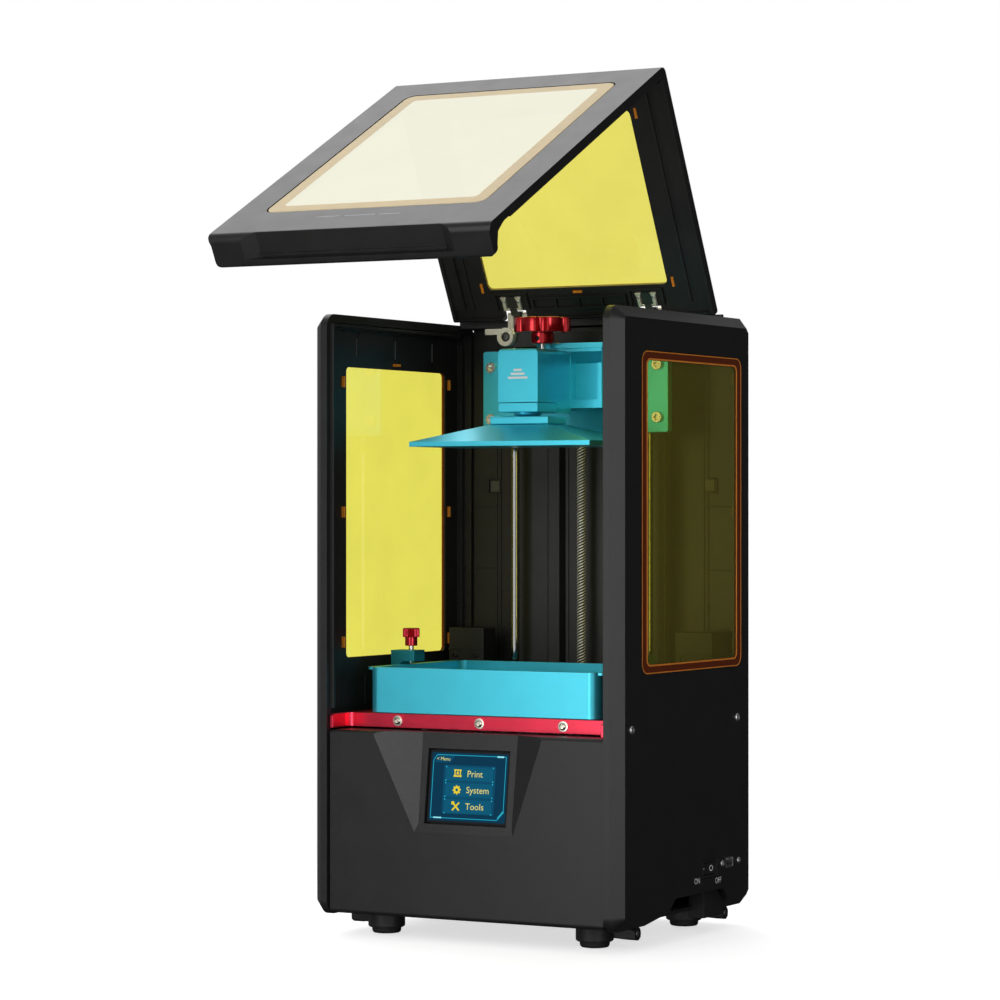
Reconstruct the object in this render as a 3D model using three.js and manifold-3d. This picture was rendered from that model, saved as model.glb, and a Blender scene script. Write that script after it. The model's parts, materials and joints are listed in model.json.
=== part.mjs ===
// Desktop resin printer with an L-shaped hinged lid: the lid is open and the build platform raised.
// Millimetres, +Z up, the front faces -Y, x = 0 is the centre plane, z = 0 is the plane under the
// feet. Parts are laid out from the middle of the body's depth; the whole object is then moved by
// ORIGIN_Y, so that the origin is the plan centre of the open printer's bounding box.
// Bounds are lists [min, max, min, max] of the two axes that an outline lies in.
import * as THREE from 'three';
import { mergeVertices } from 'three/addons/utils/BufferGeometryUtils.js';
import { ConvexGeometry } from 'three/addons/geometries/ConvexGeometry.js';
import Module from 'manifold-3d';

const wasm = await Module();
wasm.setup();

// ---------------------------------------------------------------- shared dimensions
const ORIGIN_Y = 71.35;
const GAP = 0.3;                  // running and seating gap between separate pieces
const ROUND = 24;                 // segments of a full circle
const BASE_TOP = 136.5;           // top of the base front cover
const LCD_Y = -13.3;              // centre line of the exposure area
const ROD_X = 52, ROD_Y = 66.5, ROD_R = 3;
const SCREW_Y = 66.8, SCREW_R = 3.2;
const HINGE_X = 52.5;
const LID_PIVOT_Y = 74.1, LID_PIVOT_Z = 417.8;      // hinge line of the lid
const LID_OPEN = 62.7;                              // degrees the lid stands open
const ROCKER = [20.5, 42.9, 37.8, 49.5];            // outside of the power rocker's frame, y and z
const USB = [55.6, 68.4, 41.6, 49];                 // outside of the USB socket, y and z
const JACK_X = 74, JACK_Z = 40;

// ---------------------------------------------------------------- outlines
// bounds enlarged on every side; negative amounts shrink them
function grown([aMin, aMax, bMin, bMax], growA, growB = growA) {
  return [aMin - growA, aMax + growA, bMin - growB, bMax + growB];
}

// x and y bounds centred on x = 0
const centred = (halfX, y, halfY) => [-halfX, halfX, y - halfY, y + halfY];

// evenly spaced numbers
const row = (count, start, pitch) => Array.from({ length: count }, (_, i) => start + i * pitch);

// closed outline from the half on the +x side
const symmetric = (half) => [...half, ...half.map(([x, other]) => [-x, other]).reverse()];

// closed outline with rounded or cut corners: [a, b, radius, segments]; 1 segment is a straight cut
function outline(corners) {
  const points = [];
  const count = corners.length;
  corners.forEach(([a, b, radius = 0, segments = 4], i) => {
    if (!radius) {
      points.push([a, b]);
      return;
    }
    const corner = new THREE.Vector2(a, b);
    const toPrevious = new THREE.Vector2(...corners[(i + count - 1) % count].slice(0, 2))
      .sub(corner).normalize();
    const toNext = new THREE.Vector2(...corners[(i + 1) % count].slice(0, 2))
      .sub(corner).normalize();
    const halfAngle = Math.acos(THREE.MathUtils.clamp(toPrevious.dot(toNext), -1, 1)) / 2;
    const setback = radius / Math.tan(halfAngle);
    const start = corner.clone().addScaledVector(toPrevious, setback);
    const end = corner.clone().addScaledVector(toNext, setback);
    if (segments <= 1) {
      points.push([start.x, start.y], [end.x, end.y]);
      return;
    }
    const inward = toPrevious.clone().add(toNext).normalize();
    const centre = corner.clone().addScaledVector(inward, radius / Math.sin(halfAngle));
    const startAngle = Math.atan2(start.y - centre.y, start.x - centre.x);
    let sweep = Math.atan2(end.y - centre.y, end.x - centre.x) - startAngle;
    while (sweep > Math.PI) sweep -= 2 * Math.PI;
    while (sweep < -Math.PI) sweep += 2 * Math.PI;
    for (let k = 0; k <= segments; k++) {
      const angle = startAngle + sweep * k / segments;
      points.push([centre.x + radius * Math.cos(angle), centre.y + radius * Math.sin(angle)]);
    }
  });
  return points;
}

function rect(aMin, aMax, bMin, bMax, radius = 0, segments = 4) {
  const corners = [[aMin, bMin], [aMax, bMin], [aMax, bMax], [aMin, bMax]];
  return outline(corners.map((corner) => [...corner, radius, segments]));
}

// closed ring of points; the radii repeat around it
function ring(centreA, centreB, radii, count, startAngle = 0) {
  return row(count, 0, 1).map((i) => {
    const angle = 2 * Math.PI * i / count + startAngle;
    const radius = radii[i % radii.length];
    return [centreA + radius * Math.cos(angle), centreB + radius * Math.sin(angle)];
  });
}

// ---------------------------------------------------------------- solids
function solid(geometry) {
  for (const name of Object.keys(geometry.attributes)) {
    if (name !== 'position') geometry.deleteAttribute(name);
  }
  const merged = mergeVertices(geometry, 1e-4);
  return new wasm.Manifold(new wasm.Mesh({
    numProp: 3,
    vertProperties: new Float32Array(merged.attributes.position.array),
    triVerts: new Uint32Array(merged.index.array),
  }));
}

function box(xMin, xMax, yMin, yMax, zMin, zMax) {
  const geometry = new THREE.BoxGeometry(xMax - xMin, yMax - yMin, zMax - zMin);
  geometry.translate((xMin + xMax) / 2, (yMin + yMax) / 2, (zMin + zMax) / 2);
  return solid(geometry);
}

const X_AXIS = new THREE.Vector3(1, 0, 0);
const Y_AXIS = new THREE.Vector3(0, 1, 0);
const Z_AXIS = new THREE.Vector3(0, 0, 1);
const ALONG_X = new THREE.Matrix4().makeBasis(Y_AXIS, Z_AXIS, X_AXIS);
const ALONG_Y = new THREE.Matrix4().makeBasis(Z_AXIS, X_AXIS, Y_AXIS);
const ALONG_Z = new THREE.Matrix4();

function prism(points, from, to, direction) {
  const shape = new THREE.Shape(points.map(([a, b]) => new THREE.Vector2(a, b)));
  const settings = { depth: to - from, bevelEnabled: false, curveSegments: 1 };
  const geometry = new THREE.ExtrudeGeometry(shape, settings);
  geometry.translate(0, 0, from);
  geometry.applyMatrix4(direction);
  return solid(geometry);
}
// prisms of a (y, z), an (x, z) and an (x, y) outline
const prismX = (points, from, to) => prism(points, from, to, ALONG_X);
const prismY = (points, from, to) => prism(points.map(([x, z]) => [z, x]), from, to, ALONG_Y);
const prismZ = (points, from, to) => prism(points, from, to, ALONG_Z);

// cylinders: centre, radius, then the two ends
function cylX(y, z, radius, from, to, segments = ROUND) {
  return prismX(ring(y, z, [radius], segments), from, to);
}
function cylY(x, z, radius, from, to, segments = ROUND) {
  return prismY(ring(x, z, [radius], segments), from, to);
}
function cylZ(x, y, radius, from, to, segments = ROUND) {
  return prismZ(ring(x, y, [radius], segments), from, to);
}

// solid of revolution about a vertical line; the profile is [radius, z] from axis to axis
function turned(x, y, profile) {
  const points = profile.map(([radius, z]) => new THREE.Vector2(radius, z));
  const geometry = new THREE.LatheGeometry(points, ROUND);
  geometry.rotateX(Math.PI / 2);           // the lathe axis becomes +Z
  geometry.translate(x, y, 0);
  return solid(geometry);
}

const hull = (points) => solid(new ConvexGeometry(points.map((p) => new THREE.Vector3(...p))));

// tapered block between two level rectangles
function frustum(boundsA, zA, boundsB, zB) {
  const corners = ([xMin, xMax, yMin, yMax], z) => [
    [xMin, yMin, z], [xMax, yMin, z], [xMax, yMax, z], [xMin, yMax, z]];
  return hull([...corners(boundsA, zA), ...corners(boundsB, zB)]);
}

const add = (...solids) => solids.reduce((sum, next) => sum.add(next));
const cut = (body, ...tools) => tools.reduce((rest, tool) => rest.subtract(tool), body);
const mirrorX = (body) => body.mirror([1, 0, 0]);
const bothSides = (body) => body.add(mirrorX(body));
const rodHoles = (from, to) => bothSides(cylZ(ROD_X, ROD_Y, ROD_R + GAP, from, to));

// ---------------------------------------------------------------- materials and groups
const palette = {
  black: { color: 0x1d1e20, roughness: 0.55, metalness: 0 },
  darkMetal: { color: 0x26282b, roughness: 0.5, metalness: 0.5 },
  amber: { color: 0xe0a020, roughness: 0.1, metalness: 0, transparent: true, opacity: 0.5 },
  blue: { color: 0x2fb4d6, roughness: 0.35, metalness: 0.8 },
  red: { color: 0xc81e32, roughness: 0.3, metalness: 0.8 },
  steel: { color: 0xb8babd, roughness: 0.25, metalness: 1 },
  rubber: { color: 0x101011, roughness: 0.9, metalness: 0 },
  screen: { color: 0x0c4f78, roughness: 0.15, metalness: 0 },
  board: { color: 0x1f6b3a, roughness: 0.6, metalness: 0.1 },
  alu: { color: 0xa9acb0, roughness: 0.45, metalness: 0.9 },
  film: { color: 0xdfe8ee, roughness: 0.1, metalness: 0, transparent: true, opacity: 0.4 },
  brass: { color: 0xb8953f, roughness: 0.35, metalness: 0.9 },
};

const object = new THREE.Group();
object.position.y = ORIGIN_Y;

// the lid is drawn shut and then swung open about the hinge line
const lidSwing = new THREE.Group();
lidSwing.position.set(0, LID_PIVOT_Y, LID_PIVOT_Z);
lidSwing.rotation.x = THREE.MathUtils.degToRad(-LID_OPEN);
object.add(lidSwing);
const lidGroup = new THREE.Group();
lidGroup.position.set(0, -LID_PIVOT_Y, -LID_PIVOT_Z);
lidSwing.add(lidGroup);

function part(name, body, look, parent = object) {
  const { vertProperties, triVerts } = body.getMesh();
  const geometry = new THREE.BufferGeometry();
  const positions = new THREE.BufferAttribute(new Float32Array(vertProperties), 3);
  geometry.setAttribute('position', positions);
  geometry.setIndex(new THREE.BufferAttribute(new Uint32Array(triVerts), 1));
  const mesh = new THREE.Mesh(geometry, new THREE.MeshStandardMaterial(palette[look]));
  mesh.name = name;
  parent.add(mesh);
}

// a right-hand piece and its mirror image
function pair(name, right, look, parent) {
  part(`${name}_left`, mirrorX(right), look, parent);
  part(`${name}_right`, right, look, parent);
}

// ---------------------------------------------------------------- side panels and their windows
const PANEL = [-99.35, 99.35, 13.9, 412];           // edges of the side panels, y and z
const PANEL_OUTER = 115, PANEL_INNER = 103;         // x of the outer face and of the rim's edge
const PANEL_SKIN = 112;                             // x of the skin's inner face
const CHAMFER = 7.25;                               // around the outer face
const WINDOW = [-60.2, 72.6, 182.4, 378.2];         // side window opening, y and z
const FLANGE_Y = 8.2, FLANGE_Z = 6.2;               // window recess beyond the opening
const SIDE_INSERT_GAP = 0.35;                       // around the insert in its recess
const SIDE_TAB_HALF = 3.7;                          // half length of a side window's clip tab
const TAB_HALF_THICK = 0.9;

const [WIN_FRONT, WIN_REAR, WIN_LOW, WIN_HIGH] = WINDOW;
// clip tabs: y, z, long axis (0 along y, 1 along z)
const SIDE_TABS = [
  [WIN_FRONT - 4.6, 368, 1], [WIN_FRONT - 4.6, 280.4, 1], [WIN_FRONT - 4.6, 193, 1],
  [WIN_REAR + 4.2, 370, 1], [WIN_REAR + 4.2, 280.4, 1], [WIN_REAR + 4.2, 191, 1],
  [5, WIN_HIGH + 3.2, 0], [5, WIN_LOW - 3.2, 0],
];
// notch in the panel's lower edge, [y, z]
const PANEL_NOTCH = [
  [-50.5, 10], [-50.5, 13.9], [-31, 19.8], [-19.6, 28.7], [51.4, 28.7], [60.5, 19.5], [62, 10],
];

function tabBounds([a, b, longAxis], halfLength, grow = 0) {
  const halfA = longAxis === 0 ? halfLength : TAB_HALF_THICK;
  const halfB = longAxis === 1 ? halfLength : TAB_HALF_THICK;
  return grown([a, a, b, b], halfA + grow, halfB + grow);
}

// panel edge with rounded front corners and straight-cut rear corners
function panelOutline([yMin, yMax, zMin, zMax], frontRadius, rearCut) {
  return outline([
    [yMin, zMin, frontRadius, 3], [yMax, zMin, rearCut, 1],
    [yMax, zMax, rearCut, 1], [yMin, zMax, frontRadius, 3],
  ]);
}

function sidePanel() {
  const faceRadius = 2.5;
  const chamferStart = PANEL_OUTER - CHAMFER;
  const face = panelOutline(grown(PANEL, -CHAMFER), faceRadius, 3);
  const rim = panelOutline(PANEL, faceRadius + CHAMFER, 6);
  const tray = add(
    prismX(rim, PANEL_INNER, chamferStart),
    hull([
      ...rim.map(([y, z]) => [chamferStart, y, z]),
      ...face.map(([y, z]) => [PANEL_OUTER, y, z]),
    ]));
  const hollowed = cut(tray,
    prismX(rect(...grown(PANEL, -5.6), 6, 2), PANEL_INNER - 1, 108.2),
    prismX(rect(...grown(PANEL, -9.6), 5, 2), 108, PANEL_SKIN),
    prismX(rect(...WINDOW, 3.5, 3), 110, 118),
    prismX(rect(...grown(WINDOW, FLANGE_Y, FLANGE_Z), 7.5, 4), 113.4, 118));
  // seat for the lid: a narrow flange behind the front rim and under the top rim
  const seated = add(hollowed,
    box(100.4, PANEL_INNER + 0.5, -94.6, -92.6, BASE_TOP + 14, 405),
    box(100.4, PANEL_INNER + 0.5, -94.6, 74, 403.4, 405.4));
  return cut(seated,
    prismX(PANEL_NOTCH, 90, 120),
    ...SIDE_TABS.map((tab) => box(110, 116, ...tabBounds(tab, SIDE_TAB_HALF, GAP))));
}

function portOpenings() {
  return add(...[ROCKER, USB].map((port) => prismX(rect(...grown(port, GAP), 0.8, 2), 100, 118)));
}

function sideWindow() {
  const edge = grown(WINDOW, FLANGE_Y - SIDE_INSERT_GAP, FLANGE_Z - SIDE_INSERT_GAP);
  return add(
    prismX(rect(...edge, 7.2, 4), 113.7, 114.8),
    ...SIDE_TABS.map((tab) => box(110.2, 114.2, ...tabBounds(tab, SIDE_TAB_HALF))));
}

part('side_panel_right', cut(sidePanel(), portOpenings()), 'black');
part('side_panel_left', mirrorX(sidePanel()), 'black');
pair('side_window', sideWindow(), 'amber');

// ---------------------------------------------------------------- base front cover and screen
const BASE_FRONT = -97;           // front face of the cover
const COVER_HALF = 101.9;
const COVER_INNER = -93.6;        // y of the front wall's inner face
const COVER_TOP_REAR = -71.5;     // rear edge of the cover's top
const COVER_SKIN = 2.8;           // thickness of the cover's top
const BAY_LEAN = Math.atan2(7.5, 59.8);             // lean of the screen bay's back face
const bayY = (z) => -95.5 + (z - 77) * Math.tan(BAY_LEAN);
const SCREEN_Z = 101.85;          // centre height of the screen on the bay's back face

function baseFrontCover() {
  const shell = prismX(outline([
    [BASE_FRONT, 15.3, 3, 3], [COVER_INNER, 15.3], [COVER_INNER, BASE_TOP - COVER_SKIN],
    [COVER_TOP_REAR, BASE_TOP - COVER_SKIN], [COVER_TOP_REAR, BASE_TOP],
    [BASE_FRONT, BASE_TOP, 3, 4],
  ]), -COVER_HALF, COVER_HALF);
  // thickness behind the bay, from the front wall to behind the leaning face
  const wallY = BASE_FRONT + 2;
  const backSkin = 3.6;
  const backing = hull([
    [-70.2, wallY, BASE_TOP], [58.8, wallY, BASE_TOP], [-38, wallY, 68], [37, wallY, 68],
    [-38.5, bayY(BASE_TOP) + backSkin, BASE_TOP], [38.5, bayY(BASE_TOP) + backSkin, BASE_TOP],
    [36.5, bayY(70) + backSkin, 70], [-36.5, bayY(70) + backSkin, 70],
  ]);
  // the bay's hollow: at the front face, ahead of it, and at the leaning face
  const mouthY = BASE_FRONT - 0.01;
  const aheadY = BASE_FRONT - 4;
  const bay = hull([
    [-70.2, mouthY, 138], [58.8, mouthY, 138], [36.3, mouthY, 71.6], [-37.2, mouthY, 71.6],
    [-71.5, aheadY, 138], [60, aheadY, 138], [36.8, aheadY, 69], [-37.8, aheadY, 69],
    [-35.5, bayY(138), 138], [35.5, bayY(138), 138], [34.8, bayY(77), 77], [-34.8, bayY(77), 77],
  ]);
  const openingCorners = [[-30.6, 77.3], [30.6, 77.3], [30.6, 126.2], [-30.6, 126.2]];
  const screenOpening = hull([-5, 9].flatMap((offset) =>
    openingCorners.map(([x, z]) => [x, bayY(z) + offset, z])));
  return cut(add(shell, backing), bay, screenOpening);
}

// block that leans with the bay's back face; depths are measured behind that face
function leaningBlock(halfWidth, halfHeight, frontDepth, rearDepth) {
  const sin = Math.sin(BAY_LEAN);
  const cos = Math.cos(BAY_LEAN);
  return hull([frontDepth, rearDepth].flatMap((depth) =>
    [-halfHeight, halfHeight].flatMap((along) => [-halfWidth, halfWidth].map((x) => [
      x, bayY(SCREEN_Z) + along * sin + depth * cos, SCREEN_Z + along * cos - depth * sin]))));
}

function touchScreen() {
  const glass = leaningBlock(30.2, 23.75, 1.9, 4.3);
  const backModule = leaningBlock(34, 26.5, 4.1, 9);
  return add(glass, backModule);
}

part('base_front_cover', baseFrontCover(), 'black');
part('touch_screen', touchScreen(), 'screen');

// ---------------------------------------------------------------- tray and feet
const FOOT_X = 78.3;
const FOOT_Y = { front: -63.3, rear: 67.3 };
// screw arm outward from each foot socket, [x, z]
const SCREW_ARM = [
  [FOOT_X, 8.2], [106.5, 6.9], [106.5, 11.5], [101, 13.4], [102.2, 16.5], [FOOT_X, 16.5],
];
// wall that closes the rear half of each side panel's notch, [y, z]
const NOTCH_WALL = [[30.5, 10.4], [30.5, 28.2], [51.2, 28.2], [59.6, 19.7], [59.6, 10.4]];

function baseTray() {
  const footRows = Object.values(FOOT_Y);
  const floor = cut(box(-102.4, 102.4, -93.2, 95.4, 15.5, 18),
    ...row(7, -38, 11).map((x) => box(x, x + 5, 20, 62, 10, 30)));
  const sockets = footRows.flatMap((y) => [
    cylZ(FOOT_X, y, 11.3, 3.9, 16.5),
    prismY(SCREW_ARM, y + 1, y + 10),
  ]);
  const bores = footRows.map((y) => bothSides(cylZ(FOOT_X, y, 5.3, 0, 12)));
  return cut(add(floor, bothSides(add(...sockets))), ...bores)
    .add(bothSides(prismX(NOTCH_WALL, 99.8, 111.2)));
}

function foot(y) {
  return turned(FOOT_X, y, [
    [0, 0], [7.3, 0], [8.4, 0.6], [8.95, 1.9], [8.95, 3.6], [5, 3.6], [5, 11], [0, 11],
  ]);
}

part('base_tray', baseTray(), 'black');
for (const [end, y] of Object.entries(FOOT_Y)) pair(`foot_${end}`, foot(y), 'rubber');

// ---------------------------------------------------------------- rear cover
// back wall and the fixed strip behind the lid, [y, z, corner cut, segments]
const REAR_PROFILE = [
  [96.2, 18.6], [96.2, 409.2], [76.5, 409.2], [76.5, 414.4],
  [79.3, 414.4], [79.3, 411.7], [99.2, 411.7, 4, 1], [99.2, 18.6],
];

function rearCover() {
  const hingeMin = HINGE_X - 9;
  const hingeMax = HINGE_X + 9;
  return cut(prismX(outline(REAR_PROFILE), -102.5, 102.5),
    ...row(9, 22, 7).map((x) => box(x, x + 3.5, 90, 104, 62, 112)),       // slots on the right
    ...row(7, -92, 8).map((x) => box(x - 2, x + 2, 90, 104, 47, 93)),     // slots behind the fan
    bothSides(box(hingeMin, hingeMax, 76, 80, 410.6, 415)),
    bothSides(box(hingeMin, hingeMax, 76, 78.2, 405, 415)),
    cylY(JACK_X, JACK_Z, 6.3, 90, 104));
}

function powerJack() {
  const barrel = cylY(JACK_X, JACK_Z, 6, 84, 98.9);
  const collar = cylY(JACK_X, JACK_Z, 7.5, 84, 95.9);
  return cut(add(barrel, collar), cylY(JACK_X, JACK_Z, 3.2, 88, 104));
}

part('rear_cover', rearCover(), 'black');
part('power_jack', powerJack(), 'black');

// ---------------------------------------------------------------- deck, display and lamp
const DECK_Z0 = 144, DECK_Z1 = 147;
const DECK_FRONT = -76;           // front face of the deck plate's flange
const DECK_INNER = DECK_FRONT + 2.8;                // rear face of the flange
const LCD_OPENING = centred(61, LCD_Y, 35);
const HEATSINK = centred(46, LCD_Y, 32);
// right half of the front flange and its forward ear, seen from above, [x, y]
const FLANGE_HALF = [
  [95.6, DECK_FRONT], [98.6, -77.2], [99.8, -80.2], [99.8, -96.6],
  [102.3, -96.6], [102.3, -79.6], [101.2, -75.6], [98.6, DECK_INNER],
];

function deckPlate() {
  const earBevel = prismX([[-100, 143], [-93.5, 148], [-100, 148]], -104, 104);
  const plate = add(
    box(-102.3, 102.3, DECK_INNER, 54, DECK_Z0, DECK_Z1),
    cut(prismZ(symmetric(FLANGE_HALF), 137.6, DECK_Z1), earBevel),
    box(-98, 98, DECK_FRONT + 1, DECK_FRONT + 5, DECK_Z0, DECK_Z1));      // joins the two
  return cut(plate, prismZ(rect(...LCD_OPENING, 2, 2), 140, 150));
}

// tapered duct under the display
function lightHood() {
  return cut(
    frustum(centred(63, LCD_Y, 37), 143.6, centred(44, LCD_Y, 31), 96),
    frustum(centred(60.5, LCD_Y, 34.5), 143.7, centred(42, LCD_Y, 29), 95.9));
}

function heatsink() {
  const [, , yMin, yMax] = HEATSINK;
  return add(box(...HEATSINK, 90, 95.6),
    ...row(9, -44, 10.6).map((x) => box(x, x + 2.6, yMin, yMax, 74, 90.5)));
}

part('deck_plate', deckPlate(), 'red');
part('lcd_panel', prismZ(rect(...grown(LCD_OPENING, -0.4), 1.6, 2), 144.2, 146.9), 'screen');
part('light_hood', lightHood(), 'alu');
part('uv_lamp_heatsink', heatsink(), 'alu');

// ---------------------------------------------------------------- board, ports and rocker
const ROCKER_PIN_X = 107;         // vertical pin the power rocker tips about
const ROCKER_TIP = THREE.MathUtils.degToRad(6);
const [ROCKER_Y0, ROCKER_Y1, ROCKER_Z0, ROCKER_Z1] = ROCKER;
// rocker untipped, seen from above: x, and y from its middle; the outer face is a shallow V
const ROCKER_OUTLINE = [
  [103.5, -6], [111.4, -8.5], [113.8, -8.7], [112.9, 0], [113.8, 8.7], [111.4, 8.5], [103.5, 6],
];

function mainBoard() {
  return add(
    box(20, 95, 14, 78, 33, 34.6),
    // components
    box(26, 42, 20, 36, 34, 39), box(48, 62, 22, 36, 34, 37), box(30, 38, 44, 70, 34, 42),
    box(66, 72, 50, 74, 34, 40), box(76, 92, 30, 44, 34, 38));
}

function usbPort() {
  const [yMin, yMax, zMin, zMax] = USB;
  const socket = box(96.2, 114.8, ...USB);
  const holder = box(96.2, 111.7, yMin - 9.4, yMax + 12.2, zMin - 1.5, zMax + 1.5);
  return cut(add(socket, holder), box(104, 116, ...grown(USB, -1)));
}

function rockerFrame() {
  return cut(prismX(rect(...ROCKER, 0.6, 2), 98, 114.9), box(101, 117, ...grown(ROCKER, -1.5, -1.3)));
}

function rockerSwitch() {
  const pin = new THREE.Vector2(ROCKER_PIN_X, 0);
  const middleY = (ROCKER_Y0 + ROCKER_Y1) / 2;
  const tipped = ROCKER_OUTLINE.map((point) => {
    const { x, y } = new THREE.Vector2(...point).rotateAround(pin, -ROCKER_TIP);
    return [x, middleY + y];
  });
  return prismZ(tipped, ROCKER_Z0 + 1.7, ROCKER_Z1 - 1.7);
}

part('main_board', mainBoard(), 'board');
part('usb_port', usbPort(), 'steel');
part('rocker_frame', rockerFrame(), 'black');
part('rocker_switch', rockerSwitch(), 'black');

// ---------------------------------------------------------------- fan behind the rear slots
const FAN_X = -68, FAN_Z = 70;
const FAN_HUB_R = 9.5, FAN_REAR = 95.8;
const BLADES = 7, BLADE_PITCH = 0.7;                // pitch in radians

function fanFrame() {
  const centre = [FAN_X, FAN_X, FAN_Z, FAN_Z];
  const spoke = (halfX, halfZ) => {
    const [xMin, xMax, zMin, zMax] = grown(centre, halfX, halfZ);
    return box(xMin, xMax, 94.2, FAN_REAR, zMin, zMax);
  };
  const square = prismY(rect(...grown(centre, 25), 4, 2), 85.4, FAN_REAR);
  return add(
    cut(square, cylY(FAN_X, FAN_Z, 23.2, 80, 100, 32)),
    cylY(FAN_X, FAN_Z, FAN_HUB_R, 94, FAN_REAR),
    spoke(24, 1.2), spoke(1.2, 24));
}

function fanBlade(index) {
  const blade = new THREE.BoxGeometry(13.6, 1.2, 6.6);
  blade.rotateX(BLADE_PITCH);
  blade.translate(15.2, 0, 0);
  blade.rotateY(index * 2 * Math.PI / BLADES);
  blade.translate(FAN_X, 89.8, FAN_Z);
  return solid(blade);
}

part('fan_frame', fanFrame(), 'black');
part('fan_rotor',
  add(cylY(FAN_X, FAN_Z, FAN_HUB_R, 86, 93.6), ...row(BLADES, 0, 1).map(fanBlade)), 'black');

// ---------------------------------------------------------------- vertical axis
const MOTOR_HALF = 21.1;
const MOUNT_HALF = 60, MOUNT_REAR = 79.7;           // rod mounts
const SCREW_END_R = 2.4;                            // turned-down top of the lead screw

function zMotor() {
  const square = grown([0, 0, SCREW_Y, SCREW_Y], MOTOR_HALF);
  return cut(prismZ(rect(...square, 3, 1), 84, 124), cylZ(0, SCREW_Y, 3.2, 110, 130));
}

function driveCoupler() {
  const shaft = cylZ(0, SCREW_Y, 2.5, 112, 125.5);
  return cut(add(cylZ(0, SCREW_Y, 8.5, 125, 143), shaft),
    cylZ(0, SCREW_Y, SCREW_R + GAP, 133, 150));
}

function leadScrew() {
  return add(cylZ(0, SCREW_Y, SCREW_R, 134, 400.5), cylZ(0, SCREW_Y, SCREW_END_R, 400, 404));
}

function lowerRodMount() {
  return cut(prismZ(rect(-MOUNT_HALF, MOUNT_HALF, 54.6, MOUNT_REAR, 2, 1), 124.4, 146),
    cylZ(0, SCREW_Y, 10.4, 120, 150),
    rodHoles(130, 150));
}

function upperRodMount() {
  const screwGap = 0.6;
  return cut(prismZ(rect(-MOUNT_HALF, MOUNT_HALF, 58, MOUNT_REAR, 2, 1), 394.6, 404.9),
    cylZ(0, SCREW_Y, SCREW_R + screwGap, 390, 401),
    cylZ(0, SCREW_Y, SCREW_END_R + screwGap, 400, 406),
    rodHoles(390, 403));
}

// upright plate with stiffening ribs on its rear face
function towerPlate() {
  return add(box(-58, 58, 80, 82.6, 124.5, 408.6),
    ...[17, 34.5, 57].map((x) => bothSides(box(x - 1, x + 1, 82.4, 88, 124.5, 404))));
}

function cornerBox() {
  return cut(
    add(box(74.5, 102.3, 61, 78.5, 147.4, 199), box(96, 102.3, 61, 95.8, 147.4, 199)),
    box(77, 99.8, 64, 90, 140, 196.4));
}

part('z_motor', zMotor(), 'darkMetal');
part('drive_coupler', driveCoupler(), 'alu');
part('lead_screw', leadScrew(), 'steel');
part('lower_rod_mount', lowerRodMount(), 'darkMetal');
part('upper_rod_mount', upperRodMount(), 'darkMetal');
pair('rod', cylZ(ROD_X, ROD_Y, ROD_R, 130.4, 402.6), 'steel');
part('tower_plate', towerPlate(), 'darkMetal');
pair('corner_box', cornerBox(), 'black');

// ---------------------------------------------------------------- carriage and arm
const CARRIAGE_Y = 56;            // front face of the carriage plate
const CARRIAGE_THICK = 6;
const ARM_HALF = 15, ARM_FRONT = -24.2, ARM_REAR = 22, ARM_LOW = 353.7, ARM_TOP = 389.4;
const ARM_EDGE_R = 3.2;           // rounding of the forward box's upper side edges
const KNEE_REAR = CARRIAGE_Y - GAP;
const TONGUE_SLOT_HALF = 11.9;    // half the space between the arm's cheeks
const KNOB_Y = 10.5;
const SLIDER_FRONT = 62.3;        // front of the lead nut's block and the bearings

function carriagePlate() {
  const plate = prismY(rect(-71.9, 71.9, 334.3, 391.9, 1.2, 1),
    CARRIAGE_Y, CARRIAGE_Y + CARRIAGE_THICK);
  return cut(plate, cylY(0, 352, 2, 40, 60, 8));
}

// the material outside the forward box's rounded upper edge
function armEdgeCutter() {
  const x = ARM_HALF - ARM_EDGE_R;
  const z = ARM_TOP - ARM_EDGE_R;
  const arc = row(5, 0, Math.PI / 8).map((angle) => [
    x + ARM_EDGE_R * Math.sin(angle), z + ARM_EDGE_R * Math.cos(angle)]);
  const points = [...arc, [ARM_HALF + 1, z], [ARM_HALF + 1, ARM_TOP + 1], [x, ARM_TOP + 1]];
  return prismY(points, ARM_FRONT - 1, ARM_REAR + 1);
}

function carriageArm() {
  const side = outline([
    [ARM_FRONT, ARM_LOW], [ARM_REAR, ARM_LOW],
    [ARM_REAR, ARM_TOP, 7, 4], [ARM_FRONT, ARM_TOP, 1.2, 2],
  ]);
  const forwardBox = cut(prismX(side, -ARM_HALF, ARM_HALF), bothSides(armEdgeCutter()));
  const knee = box(-39, 39, 21.9, KNEE_REAR, 350.6, 391.2);
  const topFlange = prismZ(
    outline([[-15, KNEE_REAR], [-15, 19, 14, 5], [41, 19], [41, KNEE_REAR]]), 391, 394.6);
  // a pocket in each wing of the knee, with a sloping web above it
  const pocket = box(15.6, 36, 18, 30, 356.3, 381);
  const slope = prismX([[18, 381], [30, 381], [21.9, 388.8], [18, 388.8]], 15.6, 38.9);
  // cheeks that guide the platform's tongue
  const cheek = box(TONGUE_SLOT_HALF, ARM_HALF, 3.4, 22.5, 347, ARM_LOW + 0.2);
  return cut(add(forwardBox, knee, topFlange), bothSides(pocket), bothSides(slope))
    .add(bothSides(cheek))
    .subtract(cylZ(0, KNOB_Y, 2.4, 350, 396));
}

function leadNut() {
  return cut(add(cylZ(0, SCREW_Y, 4.6, 350, 372), box(-11, 11, SLIDER_FRONT, 73.5, 352, 366)),
    cylZ(0, SCREW_Y, SCREW_R + GAP, 340, 380));
}

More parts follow.
